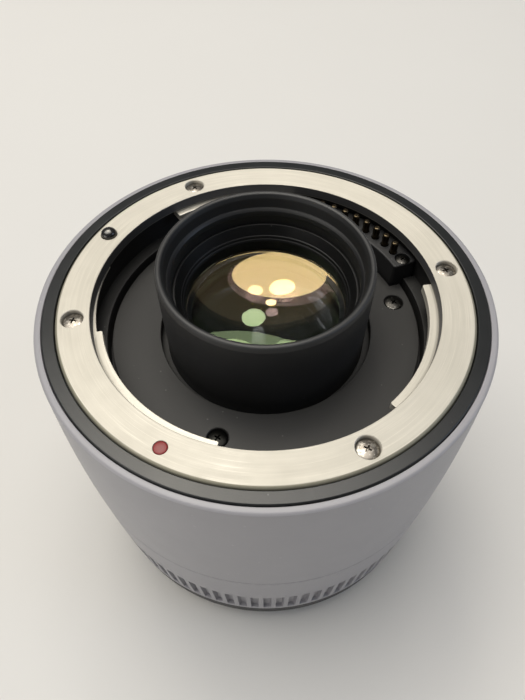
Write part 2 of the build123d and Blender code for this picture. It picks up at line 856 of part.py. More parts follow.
def front_flex_cable():
    """Flexible circuit under the contact block, with a tail that drops to the board."""
    inner = front_cable_radius - cable_thickness
    pad_half_angle = block_half_angle - pocket_margin_angle
    pad = arc_block(block_bore, front_cable_radius, web_top, block_foot, contact_angle, pad_half_angle)
    hole = peg(small_screw_shank + running_gap, web_top - overrun, block_foot + overrun)
    for side in (-1, 1):
        pad -= around(block_screw_circle, contact_angle + side * block_screw_angle) * hole
    tail = cable_strip(inner, front_cable_radius, board_top, block_foot)
    landing = cable_strip(board_screw_circle, front_cable_radius, board_top, board_top + cable_thickness)
    return pad + tail + landing


def rear_flex_cable():
    """Flexible circuit from the underside of the board to the rear contact block."""
    inner = rear_cable_radius - cable_thickness
    block_end = rear_block_top
    landing = cable_strip(board_bore, rear_cable_radius, board_foot - cable_thickness, board_foot)
    tail = cable_strip(inner, rear_cable_radius, block_end, board_foot)
    foot = cable_strip(rear_block_bore, rear_cable_radius, block_end, block_end + cable_thickness)
    return landing + tail + foot


# Lens release

def slider_inner():
    return frame_wall_radius + open_gap


def lens_lock_pin():
    pin = peg(lock_radius, front_face - arm_drop, front_face + lock_rise)
    pin = fillet(pin.edges().group_by(Axis.Z)[-1], lock_rounding)
    return around(lock_circle, lock_angle) * pin


def release_slider():
    inner = slider_inner()
    plate_high = front_face - slider_drop
    arm_high = front_face - arm_drop
    plate = radial_box(inner, inner + slider_thickness, slider_half_width, plate_high - slider_height, plate_high)
    arm = radial_box(lock_circle - arm_reach, inner, arm_half_width, arm_high - arm_height, arm_high)
    return Rot(0, 0, lock_angle) * (plate + arm)


def release_lever():
    back = slider_inner() + slider_thickness
    inner = widest_radius + open_gap
    outer = inner + lever_thickness
    high = front_face - lever_drop
    low = high - lever_height
    pad = arc_block(inner, outer, low, high, 0, lever_half_angle)
    pad = fillet(pad.faces().sort_by(Axis.X)[-1].edges(), lever_rounding)
    pitch = lever_height / (lever_ridge_count + 1)
    for index in range(lever_ridge_count):
        middle = low + pitch * (index + 1)
        pad -= sleeve(
            outer - lever_ridge_depth, outer + overrun,
            middle - lever_ridge_width / 2, middle + lever_ridge_width / 2,
        )
    neck_high = front_face - lever_neck_drop
    neck = radial_box(back, inner + seat_gap, lever_neck_half_width, neck_high - lever_neck_height, neck_high)
    return Rot(0, 0, lock_angle) * (pad + neck)


def lock_pin_spring():
    top = front_face - arm_drop - arm_height
    foot = front_face - window_drop
    inner = lock_spring_radius - lock_spring_wire
    return around(lock_circle, lock_angle) * sleeve(inner, lock_spring_radius, foot, top)


# Camera end

def rear_mount_ring():
    lip_radius = rear_flange_radius - clamp_lip_width
    ring = turned(
        (boss_bore, 0), (boss_radius, 0), (boss_radius, rear_boss_length),
        (rear_flange_radius, rear_boss_length), (rear_flange_radius, rear_clamp_level),
        (lip_radius, rear_clamp_level), (lip_radius, frame_foot), (boss_bore, frame_foot),
    )
    ring = chamfer(ring.edges().group_by(Axis.Z)[0], boss_chamfer)
    tab_top = rear_boss_length - tab_drop
    for middle, width in zip(lug_angles, tab_sweep_angles):
        tab = arc_block(boss_radius - overrun, tab_radius, tab_top - tab_height, tab_top, middle, width / 2)
        ring += chamfer(tab.edges().group_by(Axis.Z)[0], tab_chamfer)
    seat = rear_boss_length + mount_screw_sink + mount_screw_head_height
    head_hole = peg(mount_screw_head + seat_gap, rear_boss_length - overrun, seat)
    shank_hole = peg(mount_screw_shank + running_gap, rear_boss_length, frame_foot + overrun)
    for angle in mount_screw_angles:
        ring -= around(mount_screw_circle, angle) * (head_hole + shank_hole)
    slot = peg(lock_slot_radius, rear_boss_length - overrun, rear_boss_length + lock_slot_depth)
    return ring - around(lock_circle, lock_angle) * slot


def rear_mount_screws():
    one = Rot(180, 0, 0) * screw(mount_screw_head, mount_screw_head_height, mount_screw_shank, mount_screw_length)
    foot = rear_boss_length + mount_screw_sink
    return [around(mount_screw_circle, angle, foot) * one for angle in mount_screw_angles]


def rear_ring_radius():
    return foot_radius - rear_ring_inset


def gasket_top():
    return rear_boss_length - gasket_overhang + gasket_height


def rear_ring():
    lip_bore = rear_flange_radius - clamp_lip_width + seat_gap
    collar_bore = rear_flange_radius + seat_gap
    outer = rear_ring_radius()
    ring = turned(
        (collar_bore, gasket_top()), (outer, gasket_top()), (outer, barrel_foot),
        (barrel_bore, barrel_foot), (barrel_bore, frame_foot), (lip_bore, frame_foot),
        (lip_bore, rear_clamp_level), (collar_bore, rear_clamp_level),
    )
    ring = chamfer(ring.edges().group_by(Axis.Z)[0].sort_by(SortBy.LENGTH)[-1], foot_chamfer)
    seat = outer - dot_depth
    hole = Pos(seat, 0, bead_height()) * Rot(0, 90, 0) * peg(bead_radius + running_gap, 0, overrun + dot_depth)
    return ring - Rot(0, 0, rear_index_angle) * hole


def bead_height():
    return (barrel_foot + gasket_top()) / 2


def rear_index_mark():
    seat = rear_ring_radius() - dot_depth
    bead = peg(bead_radius, 0, dot_depth + bead_rise)
    bead = chamfer(bead.edges().group_by(Axis.Z)[-1], bead_rise)
    return Rot(0, 0, rear_index_angle) * Pos(seat, 0, bead_height()) * Rot(0, 90, 0) * bead


def mount_gasket():
    inner = rear_flange_radius + seat_gap
    foot = rear_boss_length - gasket_overhang
    shoulder = rear_boss_length + gasket_overhang
    return turned(
        (inner, gasket_top()), (gasket_radius, gasket_top()), (gasket_radius, shoulder),
        (inner + 2 * gasket_lip_width, foot), (inner + gasket_lip_width, foot), (inner, shoulder),
    )


def rear_contact_block():
    block = arc_block(
        rear_block_bore, rear_block_radius, rear_block_rise, rear_block_top, contact_angle, block_half_angle
    )
    return chamfer(block.edges().group_by(Axis.Z)[0], block_chamfer)


def rear_contact_pads():
    middle = (rear_block_bore + rear_block_radius) / 2
    width = radians(contact_pitch_angle) * middle * pad_share
    pad = Pos(0, 0, rear_block_rise - pad_rise) * Box(pad_length, width, pad_rise, align=upwards)
    return [around(middle, angle) * pad for angle in contact_angles()]


def rear_light_baffle():
    outer = rear_frame_bore - seat_gap
    top = frame_foot + baffle_thickness
    foot = top - baffle_tube_length
    baffle = turned(
        (baffle_tube_throat, top), (outer, top), (outer, frame_foot), (baffle_tube_radius, frame_foot),
        (baffle_tube_radius, foot), (baffle_tube_mouth, foot),
    )
    notch_bore = rear_block_bore - open_gap
    return baffle - arc_block(
        notch_bore, rear_frame_bore + overrun, frame_foot - overrun, top + overrun,
        contact_angle, block_half_angle + pocket_margin_angle,
    )


def all_parts():
    front_glass, single_foot, (front_pair_foot, triplet_top), _ = front_stack()
    rear_glass, last_top, rear_pair_foot, _ = rear_stack()
    parts = {
        "front_barrel": front_barrel(),
        "rear_barrel": rear_barrel(),
        "front_trim_ring": front_trim_ring(),
        "front_mount_ring": front_mount_ring(),
        "front_mount_screws": front_mount_screws(),
        "front_index_dot": front_index_dot(),
        "mount_leaf_springs": mount_leaf_springs(),
        "front_frame": front_frame(),
        "rear_frame": rear_frame(),
        "floor_plate": floor_plate(),
        "floor_plate_screws": floor_plate_screws(),
        "contact_block": contact_block(),
        "contact_block_screws": contact_block_screws(),
        "contact_springs": contact_springs(),
        "lens_tube": lens_tube(),
        "lens_tube_screws": lens_tube_screws(),
        "front_retaining_ring": front_retaining_ring(),
        "front_spacer": spacer(front_glass_radius, single_foot - front_spacer_length, single_foot),
        "middle_spacer": spacer(front_glass_radius, triplet_top, front_pair_foot),
        "rear_spacer": spacer(rear_glass_radius, last_top, rear_pair_foot),
        "rear_lens_cell": rear_lens_cell(),
        "rear_cell_screws": rear_cell_screws(),
        "rear_retaining_ring": rear_retaining_ring(),
        "circuit_board": circuit_board(),
        "circuit_chip": circuit_chip(),
        "circuit_board_screws": circuit_board_screws(),
        "front_flex_cable": front_flex_cable(),
        "rear_flex_cable": rear_flex_cable(),
        "lens_lock_pin": lens_lock_pin(),
        "release_slider": release_slider(),
        "release_lever": release_lever(),
        "lock_pin_spring": lock_pin_spring(),
        "rear_mount_ring": rear_mount_ring(),
        "rear_mount_screws": rear_mount_screws(),
        "rear_ring": rear_ring(),
        "rear_index_mark": rear_index_mark(),
        "mount_gasket": mount_gasket(),
        "rear_contact_block": rear_contact_block(),
        "rear_contact_pads": rear_contact_pads(),
        "rear_light_baffle": rear_light_baffle(),
    }
    for number, glass in enumerate(front_glass + rear_glass, start=1):
        parts[f"lens_element_{number}"] = glass
    for number, angle in enumerate(contact_angles(), start=1):
        parts[f"contact_pin_{number:02d}"] = around(contact_circle, angle) * contact_pin()
    return parts


os.makedirs("parts", exist_ok=True)
for name, shape in all_parts().items():
    solid = Compound(shape) if isinstance(shape, list) else shape
    export_step(solid, f"parts/{name}.step")
    print(name)
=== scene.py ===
# Camera teleconverter: smooth pieces and finishes round the CAD frame, with camera, floor and lamps.
from math import atan2, cos, pi, radians, sin, sqrt, tan

import bmesh
import bpy
from mathutils import Matrix, Vector


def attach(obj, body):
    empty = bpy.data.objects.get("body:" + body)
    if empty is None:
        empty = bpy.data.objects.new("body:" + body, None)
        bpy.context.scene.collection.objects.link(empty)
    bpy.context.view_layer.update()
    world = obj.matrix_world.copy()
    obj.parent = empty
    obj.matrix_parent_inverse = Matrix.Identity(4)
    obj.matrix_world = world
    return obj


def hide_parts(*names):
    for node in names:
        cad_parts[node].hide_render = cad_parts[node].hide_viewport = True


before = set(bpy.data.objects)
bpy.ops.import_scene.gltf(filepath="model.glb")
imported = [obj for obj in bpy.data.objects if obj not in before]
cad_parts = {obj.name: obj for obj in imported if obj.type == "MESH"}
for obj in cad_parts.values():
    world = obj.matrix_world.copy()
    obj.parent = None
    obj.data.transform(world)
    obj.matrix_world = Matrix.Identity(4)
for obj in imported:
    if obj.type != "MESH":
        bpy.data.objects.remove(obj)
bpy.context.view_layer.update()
mm = 0.001

# Heights, radii and angles that several pieces share, in millimetres and degrees
frontFace, mountSeat, clampLevel, webTop, plateTop, rearFace = 62.8, 60.4, 61.2, 53.2, 55.3, 5.8
barrelBore, barrelJoint, barrelFoot, screwCircle, lockCircle = 33.4, 32.82, 11.3, 29.6, 29.83
indexAngle, lockAngle, contactAngle, rearIndexAngle = 242.7, 152.7, 52.4, 182.7
lugAngles, screwAngles = (224.4, 339.4, 102.6), (115.7, 189.7, 295.7, 9.7)
innerScrewAngles = (11.5, 131.5, 251.5)

# Meshes are drawn in millimetres and scaled when they are placed
meshing = {"weld": 0.0004, "same": 1e-4, "cornerSegments": 5, "rimSegments": 3, "sectorSteps": 28}


def picked(values, names):
    return [values[name] for name in names.split()]


def softened(corners, steps=4):
    # corners are (radius, height) or (radius, height, rounding)
    points = []
    for index, corner in enumerate(corners):
        here = Vector(corner[:2])
        if len(corner) == 2:
            points.append(here)
            continue
        toLast = (Vector(corners[index - 1][:2]) - here).normalized()
        toNext = (Vector(corners[(index + 1) % len(corners)][:2]) - here).normalized()
        half = toLast.angle(toNext) / 2
        centre = here + (toLast + toNext).normalized() * (corner[2] / sin(half))
        first = here + toLast * (corner[2] / tan(half)) - centre
        last = here + toNext * (corner[2] / tan(half)) - centre
        for step in range(steps + 1):
            spoke = first.lerp(last, step / steps)
            points.append(centre + spoke.normalized() * corner[2])
    return [(point.x, point.y) for point in points]


def arcThrough(start, middle, end, steps):
    # points on the circle through three points, both ends included
    (ax, ay), (bx, by), (cx, cy) = start, middle, end
    double = 2 * (ax * (by - cy) + bx * (cy - ay) + cx * (ay - by))
    a, b, c = (x**2 + y**2 for x, y in (start, middle, end))
    ux = (a * (by - cy) + b * (cy - ay) + c * (ay - by)) / double
    uy = (a * (cx - bx) + b * (ax - cx) + c * (bx - ax)) / double
    radius = sqrt((ax - ux)**2 + (ay - uy)**2)
    first, through, last = (atan2(y - uy, x - ux) for x, y in (start, middle, end))
    through, last = (through - first) % (2 * pi), (last - first) % (2 * pi)
    sweep = last if through < last else last - 2 * pi
    turns = [first + sweep * step / steps for step in range(steps + 1)]
    return [(ux + radius * cos(turn), uy + radius * sin(turn)) for turn in turns]


def spun(outline, angles, shape=None, closed=True):
    # closed outline of (radius, height) turned through a list of angles in radians
    body = bmesh.new()
    rings = []
    for angle in angles:
        ring = []
        for radius, height in outline:
            if shape:
                radius, height = shape(radius, height, angle)
            ring.append(body.verts.new((radius * cos(angle), radius * sin(angle), height)))
        rings.append(ring)
    spans = list(zip(rings, rings[1:])) + ([(rings[-1], rings[0])] if closed else [])
    count = len(outline)
    for left, right in spans:
        for index in range(count):
            other = (index + 1) % count
            body.faces.new((left[index], right[index], right[other], left[other]))
    if not closed:
        body.faces.new(list(reversed(rings[0])))
        body.faces.new(rings[-1])
    bmesh.ops.remove_doubles(body, verts=body.verts, dist=meshing["weld"])
    bmesh.ops.recalc_face_normals(body, faces=body.faces)
    return body


def lathe(outline, turns=240):
    return spun(outline, [2 * pi * step / turns for step in range(turns)])


def rod(radius, low, high, turns):
    return lathe([(0, low), (radius, low), (radius, high), (0, high)], turns)


def isLevel(edge):
    return abs(edge.verts[0].co.z - edge.verts[1].co.z) < meshing["same"]


def prism(plan, low, high, rimRound=0.0, corners=(), cornerRound=0.0):
    # flat plan pulled up, with its named corners and both rims rounded
    body = bmesh.new()
    foot = [body.verts.new((x, y, low)) for x, y in plan]
    head = [body.verts.new((x, y, high)) for x, y in plan]
    body.faces.new(list(reversed(foot)))
    body.faces.new(head)
    for index in range(len(plan)):
        other = (index + 1) % len(plan)
        body.faces.new((foot[index], foot[other], head[other], head[index]))
    if cornerRound:
        upright = [edge for edge in body.edges if not isLevel(edge)
                   and any((edge.verts[0].co.xy - Vector(plan[corner])).length < meshing["same"] for corner in corners)]
        bmesh.ops.bevel(body, geom=upright, offset=cornerRound, segments=meshing["cornerSegments"], profile=0.5,
                        affect="EDGES")
    if rimRound:
        body.normal_update()
        rims = [edge for edge in body.edges
                if isLevel(edge) and sum(abs(face.normal.z) > 0.9 for face in edge.link_faces) == 1]
        bmesh.ops.bevel(body, geom=rims, offset=rimRound, segments=meshing["rimSegments"], profile=0.5,
                        affect="EDGES", clamp_overlap=True)
    bmesh.ops.recalc_face_normals(body, faces=body.faces)
    return body


def arcSlab(inner, outer, low, high, middle, half, rimRound=0.0, cornerRound=0.0, corners=(0, 1, 2, 3)):
    # sector of a ring; its corners are counted from the outer one at the start
    steps = meshing["sectorSteps"]
    angles = [radians(middle - half + 2 * half * step / steps) for step in range(steps + 1)]
    plan = [(outer * cos(angle), outer * sin(angle)) for angle in angles]
    plan += [(inner * cos(angle), inner * sin(angle)) for angle in reversed(angles)]
    places = (0, steps, steps + 1, 2 * steps + 1)
    return prism(plan, low, high, rimRound, [places[corner] for corner in corners], cornerRound)


def boxed(size, centre=(0, 0, 0), taper=1.0, edge=0.0):
    # block whose foot is taper times its head
    body = bmesh.new()
    bmesh.ops.create_cube(body, size=1.0)
    for vert in body.verts:
        narrow = taper if vert.co.z < 0 else 1.0
        x, y, z = vert.co
        vert.co = Vector((x * size[0] * narrow, y * size[1] * narrow, z * size[2])) + Vector(centre)
    if edge:
        bmesh.ops.bevel(body, geom=list(body.edges), offset=edge, segments=2, profile=0.5, affect="EDGES")
    return body


def moved(body, turn, out=0.0, up=0.0):
    # pushed out and up, then turned round the axis by degrees
    body.transform(Matrix.Rotation(radians(turn), 4, "Z") @ Matrix.Translation((out, 0, up)))
    return body


def meshOf(name, body):
    mesh = bpy.data.meshes.new(name)
    body.to_mesh(mesh)
    body.free()
    return mesh


def linked(name, data):
    made = bpy.data.objects.new(name, data)
    bpy.context.scene.collection.objects.link(made)
    return made


def joined(*bodies):
    whole = bmesh.new()
    for body in bodies:
        scrap = meshOf("scrap", body)
        whole.from_mesh(scrap)
        bpy.data.meshes.remove(scrap)
    return whole


def carved(body, *cutters):
    # body with the cutters taken out of it; cutters of one call don't overlap
    holders = [linked("scrap", meshOf("scrap", source)) for source in (body, joined(*cutters))]
    cut = holders[0].modifiers.new("cut", "BOOLEAN")
    cut.operation, cut.solver, cut.object = "DIFFERENCE", "EXACT", holders[1]
    bpy.context.view_layer.update()
    result = bmesh.new()
    result.from_object(holders[0], bpy.context.evaluated_depsgraph_get())
    for holder in holders:
        mesh = holder.data
        bpy.data.objects.remove(holder)
        bpy.data.meshes.remove(mesh)
    return result


def place(name, body, finishName, node, rides="housing", sharpAngle=38):
    # scales a mesh to metres, shades it and gives it to the frame in place of its CAD node
    body.transform(Matrix.Scale(mm, 4))
    mesh = meshOf(name, body)
    mesh.shade_smooth()
    mesh.set_sharp_from_angle(angle=radians(sharpAngle))
    mesh.materials.append(finishes[finishName])
    piece = linked(name, mesh)
    piece.modifiers.new("evenShading", "WEIGHTED_NORMAL").keep_sharp = True
    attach(piece, rides)
    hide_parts(node)
    return piece


class Wire:
    # a socket whose operators add the nodes of a sum
    def __init__(self, finish, socket):
        self.finish, self.socket = finish, socket

    def withMath(self, operation, first, second):
        wires = [value for value in (first, second) if isinstance(value, Wire)]
        if any(wire.socket.type in ("VECTOR", "RGBA") for wire in wires):
            return self.withVector(operation, first, second)
        return self.finish.node("Math", {"operation": operation}, {0: first, 1: second})

    def withVector(self, operation, first, second):
        if operation == "MULTIPLY" and not (isinstance(first, Wire) and isinstance(second, Wire)):
            vector, number = (first, second) if isinstance(first, Wire) else (second, first)
            return self.finish.node("VectorMath", {"operation": "SCALE"}, {0: vector, "Scale": number})
        return self.finish.node("VectorMath", {"operation": operation}, {0: first, 1: second})

    def __add__(self, other): return self.withMath("ADD", self, other)
    def __radd__(self, other): return self.withMath("ADD", other, self)
    def __sub__(self, other): return self.withMath("SUBTRACT", self, other)
    def __rsub__(self, other): return self.withMath("SUBTRACT", other, self)
    def __mul__(self, other): return self.withMath("MULTIPLY", self, other)
    def __rmul__(self, other): return self.withMath("MULTIPLY", other, self)
    def __gt__(self, other): return self.withMath("GREATER_THAN", self, other)
    def __lt__(self, other): return self.withMath("LESS_THAN", self, other)


socketNames = {"baseColor": "Base Color", "roughness": "Roughness", "metallic": "Metallic", "normal": "Normal",
               "coatWeight": "Coat Weight", "coatRoughness": "Coat Roughness", "index": "IOR",
               "transmission": "Transmission Weight", "tint": "Specular Tint", "level": "Specular IOR Level",
               "brushed": "Anisotropic", "brushTurn": "Anisotropic Rotation"}


class Finish:
    def __init__(self, name):
        self.material = bpy.data.materials.new(name)
        self.material.use_nodes = True
        self.tree = self.material.node_tree
        self.tree.nodes.clear()
        self.where = self.node("TexCoord", out="Object") * (1 / mm)   # millimetres from the foot of the axis
        flat = self.node("VectorMath", {"operation": "MULTIPLY"}, {0: self.where, 1: (1, 1, 0)})
        self.radius = self.node("VectorMath", {"operation": "LENGTH"}, {0: flat}, "Value")
        self.direction = self.node("VectorMath", {"operation": "NORMALIZE"}, {0: flat})   # round the axis, with no seam
        self.height = self.axis("Z")

    def node(self, kind, settings=None, sockets=None, out=0):
        made = self.tree.nodes.new("ShaderNode" + kind)
        for key, value in (settings or {}).items():
            setattr(made, key, value)
        for key, value in (sockets or {}).items():
            if isinstance(value, Wire):
                self.tree.links.new(value.socket, made.inputs[key])
            elif made.inputs[key].type == "RGBA":
                made.inputs[key].default_value = (*value, 1)
            else:
                made.inputs[key].default_value = value
        return Wire(self, made.outputs[out]) if len(made.outputs) else None

    def axis(self, letter):
        return self.node("SeparateXYZ", {}, {0: self.where}, letter)

    def noise(self, size, detail=2.0, rough=0.5, where=None):
        # size is the width of a typical blotch in millimetres
        sockets = {"Vector": where or self.where, "Scale": 1 / size, "Detail": detail, "Roughness": rough}
        return self.node("TexNoise", {"noise_dimensions": "3D"}, sockets, "Fac")

    def toolMarks(self, pitch, length, detail):
        # noise that is fine across the radius and long round the axis; the height's share carries it down walls
        heightShare = 0.83
        across = self.node("CombineXYZ", {}, {"Z": (self.radius + self.height * heightShare) * (1 / pitch)})
        return self.noise(1.0, detail, 0.6, self.direction * length + across)

    def specks(self, size, share):
        # sparse round spots, 1 inside a spot
        grid = {"Vector": self.where, "Scale": 1 / size}
        distance = self.node("TexVoronoi", {"feature": "F1"}, grid, "Distance")
        lot = self.node("SeparateColor", {}, {0: self.node("TexVoronoi", {"feature": "F1"}, grid, "Color")})
        return self.fade(distance, 0.16, 0.05) * (lot < share)

    def fade(self, value, low, high):
        # 0 at low and 1 at high, smooth between them
        settings = {"interpolation_type": "SMOOTHSTEP", "clamp": True}
        return self.node("MapRange", settings, {"Value": value, 1: low, 2: high, 3: 0.0, 4: 1.0})

    def mix(self, share, first, second):
        return self.node("Mix", {"data_type": "RGBA"}, {0: share, 6: first, 7: second}, 2)

    def band(self, value, centre, width):
        # 1 within a third of width from the centre, 0 beyond width
        away = self.node("Math", {"operation": "ABSOLUTE"}, {0: value - centre})
        return self.fade(away, width, width * 0.3)

    def bump(self, height, depth, strength=1.0, under=None):
        sockets = {"Height": height, "Distance": depth * mm, "Strength": strength}
        if under:
            sockets["Normal"] = under
        return self.node("Bump", {}, sockets)

    def closed(self, surface):
        self.node("OutputMaterial", {}, {"Surface": surface})
        return self.material

    def shaded(self, film=None, **values):
        # a word such as baseColor stands for its socket; film is the share and colour of a mirror on top
        surface = self.node("BsdfPrincipled", {}, {socketNames[word]: value for word, value in values.items()})
        if film:
            mirror = self.node("BsdfPrincipled", {}, {"Base Color": film[1], "Metallic": 1.0, "Roughness": 0.0})
            surface = self.node("MixShader", {}, {0: film[0], 1: surface, 2: mirror})
        return self.closed(surface)

    def grained(self, look, share, grain, over=None, raised=None, **values):
        # dark to pale by a share, another colour over them, and a grain that roughens and stands up
        colour = self.mix(share, look["dark"], look["pale"])
        if over:
            colour = self.mix(over, colour, look["over"])
        rough, grainRough = look["rough"]
        return self.shaded(baseColor=colour, roughness=rough + grain * grainRough,
                           normal=self.bump(raised or grain, *look["bump"]), **values)


barrelLook = {"colour": (0.345, 0.34, 0.362), "deep": (0.29, 0.285, 0.308), "rough": 0.40, "grain": 0.16,
              "grainDepth": 0.010, "dust": (0.50, 0.49, 0.48), "edge": (0.46, 0.46, 0.48), "edgeAt": (35.35, 62.35)}


def barrelPaint(finish):
    # satin enamel: fine sprayed grain, faint clouds and a little handling dust
    grain = finish.noise(barrelLook["grain"], 3, 0.55)
    clouds = finish.noise(14, 3, 0.5)
    handled = finish.noise(5, 4, 0.6)
    dust = finish.specks(1.6, 0.22)
    edgeRadius, edgeHeight = barrelLook["edgeAt"]
    edge = finish.band(finish.radius, edgeRadius, 0.10) * finish.band(finish.height, edgeHeight, 0.35)
    colour = finish.mix(clouds * 0.5 + grain * 0.25, barrelLook["deep"], barrelLook["colour"])
    colour = finish.mix(dust * 0.35, colour, barrelLook["dust"])
    colour = finish.mix(edge * 0.25, colour, barrelLook["edge"])
    rough = barrelLook["rough"] + grain * 0.10 + handled * 0.10 - 0.08
    return finish.shaded(baseColor=colour, roughness=rough, metallic=0.0, coatWeight=0.12, coatRoughness=0.25,
                         normal=finish.bump(grain, barrelLook["grainDepth"], 0.8))


# the bevel, wall and root colours are painted shade, darker than the plated brass
mountLook = {"bright": (0.80, 0.765, 0.69), "dull": (0.50, 0.48, 0.42), "rubbed": (0.82, 0.78, 0.70),
             "bevel": (0.26, 0.25, 0.19), "wall": (0.085, 0.088, 0.10), "rootShade": (0.34, 0.32, 0.28),
             "rough": 0.58, "brushed": 0.35, "brushTurn": 0.25, "markPitch": 0.10, "markDepth": 0.018}


def mountSteel(finish):
    # plated brass turned on a lathe: tool marks round the axis, rub arcs where lenses lock, and painted shade on the
    # outer bevel, the throat wall and the lug roots
    radius, height = finish.radius, finish.height
    fine = finish.toolMarks(mountLook["markPitch"], 5.0, 2.0)
    coarse = finish.toolMarks(0.55, 2.2, 1.0)
    tone = finish.noise(9, 2, 0.5)
    rubbed = finish.fade(finish.toolMarks(0.07, 3.0, 0.0), 0.66, 0.74)
    haze = finish.noise(2.4, 4, 0.65)
    # painted shade: masks of the ring's outer bevel, its throat wall and the roots of the lugs, the roots not on the
    # far left
    rim = finish.fade(radius, 31.70, 31.86) * (radius < 32.25) * (height > 61.0)
    wall = finish.band(radius, 27.0, 0.16) * (height < 62.72) * (height > 60.95)
    rootShade = finish.fade(radius, 26.45, 26.75) * (radius < 27.02) * (height < 61.2) * (height > 60.3)
    rootShade = rootShade * (finish.axis("X") > -25.7)
    lug = (radius < 26.95) * (height < 61.1) * (height > 60.3)
    farLug = lug * (finish.axis("Y") > 15.0)
    colour = finish.mix(fine * 0.35 + coarse * 0.35 + tone * 0.3, mountLook["dull"], mountLook["bright"])
    for mask, layer in ((rubbed * 0.35, "rubbed"), (rim * 0.85, "bevel"), (wall * 0.9, "wall"), (rootShade * 0.55, "rootShade")):
        colour = finish.mix(mask, colour, mountLook[layer])
    rough = mountLook["rough"] + fine * 0.12 + haze * 0.10 - rubbed * 0.06 - lug * 0.12 - farLug * 0.20
    marks = finish.bump(fine, mountLook["markDepth"], 0.55)
    return finish.shaded(baseColor=colour, metallic=0.88, roughness=rough, brushed=mountLook["brushed"],
                         brushTurn=mountLook["brushTurn"], normal=finish.bump(coarse, 0.024, 0.30, marks))


def screwSteel(finish):
    # blackened steel, worn where the driver sits
    look = {"dark": (0.22, 0.20, 0.175), "pale": (0.50, 0.47, 0.42), "rough": (0.26, 0.16),
            "bump": (0.006, 0.5)}
    worn = finish.fade(finish.noise(0.5, 3, 0.6), 0.48, 0.62)
    return finish.grained(look, worn, finish.noise(0.12, 3, 0.6), metallic=1.0)


def screwBlack(finish):
    # black oxide with bare metal in the corners of the cross; the screw nearest the red dot is painted near-black as
    # painted shade
    look = {"dark": (0.045, 0.043, 0.040), "pale": (0.26, 0.25, 0.23), "over": (0.014, 0.014, 0.013),
            "rough": (0.24, 0.16), "bump": (0.006, 0.5), "shadeBelow": -15.0}
    worn = finish.fade(finish.noise(0.45, 3, 0.6), 0.58, 0.72)
    # painted shade: the screw nearest the red dot is painted near-black
    shadedScrew = finish.axis("Y") < look["shadeBelow"]
    return finish.grained(look, worn, finish.noise(0.12, 3, 0.6), shadedScrew, metallic=1.0)


def pinSteel(finish):
    # hard black-chromed pin, paler towards its crown
    look = {"dark": (0.09, 0.088, 0.085), "pale": (0.22, 0.215, 0.20), "rough": (0.20, 0.12),
            "bump": (0.004, 0.5), "crown": (63.5, 64.3)}
    grain = finish.noise(0.10, 3, 0.6)
    crown = finish.fade(finish.height, *look["crown"])
    return finish.grained(look, crown * 0.35 + grain * 0.1, grain, metallic=1.0)


def blackPlastic(finish):
    # moulded with a spark-eroded grain
    look = {"dark": (0.014, 0.014, 0.015), "pale": (0.026, 0.026, 0.027), "over": (0.14, 0.14, 0.135),
            "rough": (0.46, 0.16), "bump": (0.012, 0.8)}
    return finish.grained(look, finish.noise(4, 2, 0.5), finish.noise(0.14, 4, 0.7), finish.specks(1.2, 0.12) * 0.4)


def shadedContactGold(finish):
    # the gold plating is painted dark brown as painted shade
    look = {"dark": (0.075, 0.057, 0.034), "pale": (0.13, 0.105, 0.068), "rough": (0.18, 0.14),
            "bump": (0.003, 0.5)}
    worn = finish.fade(finish.noise(0.7, 2, 0.5), 0.55, 0.7)
    return finish.grained(look, worn, finish.noise(0.2, 3, 0.6), metallic=1.0)


def indexRed(finish):
    # filled enamel, pooled and slightly uneven
    look = {"dark": (0.16, 0.010, 0.011), "pale": (0.27, 0.020, 0.018), "rough": (0.42, 0.12),
            "bump": (0.03, 0.5)}
    pooled = finish.noise(0.6, 2, 0.5)
    return finish.grained(look, pooled, pooled, coatWeight=0.12, coatRoughness=0.2)


def gasketRubber(finish):
    look = {"dark": (0.012, 0.012, 0.013), "pale": (0.045, 0.044, 0.042), "rough": (0.62, 0.15),
            "bump": (0.012, 0.7)}
    bloom = finish.fade(finish.noise(3, 4, 0.6), 0.45, 0.75)
    return finish.grained(look, bloom * 0.5, finish.noise(0.18, 4, 0.65))


def springSteel(finish):
    look = {"dark": (0.42, 0.42, 0.43), "pale": (0.62, 0.61, 0.60), "rough": (0.24, 0.14),
            "bump": (0.005, 0.5)}
    drawn = finish.noise(0.3, 3, 0.6)
    return finish.grained(look, drawn, drawn, metallic=1.0)


def boardGreen(finish):
    # solder mask over copper runs
    look = {"dark": (0.008, 0.075, 0.035), "pale": (0.02, 0.16, 0.07), "rough": (0.3, 0.15),
            "bump": (0.03, 0.6), "runs": 0.8}
    grid = {"Vector": finish.where, "Scale": look["runs"]}
    copper = finish.fade(finish.node("TexVoronoi", {"feature": "DISTANCE_TO_EDGE"}, grid, "Distance"), 0.10, 0.06)
    return finish.grained(look, copper, finish.noise(0.5, 3, 0.6), raised=copper, coatWeight=0.3)


def chipBlack(finish):
    look = {"dark": (0.012, 0.012, 0.013), "pale": (0.03, 0.03, 0.03), "rough": (0.5, 0.2),
            "bump": (0.01, 0.8)}
    grain = finish.noise(0.09, 3, 0.7)
    return finish.grained(look, grain, grain)


def flexFilm(finish):
    # flat cable in a black cover film, its copper runs faintly seen
    look = {"dark": (0.020, 0.013, 0.010), "pale": (0.034, 0.022, 0.014), "runs": 0.55}
    wave = {"Vector": finish.where, "Scale": look["runs"], "Distortion": 0.0}
    runs = finish.fade(finish.node("TexWave", {"wave_type": "BANDS"}, wave, "Fac"), 0.45, 0.6)
    tone = finish.noise(4, 2, 0.5)
    colour = finish.mix(runs, look["dark"], look["pale"])
    return finish.shaded(baseColor=colour, roughness=0.28 + tone * 0.12, coatWeight=0.4)
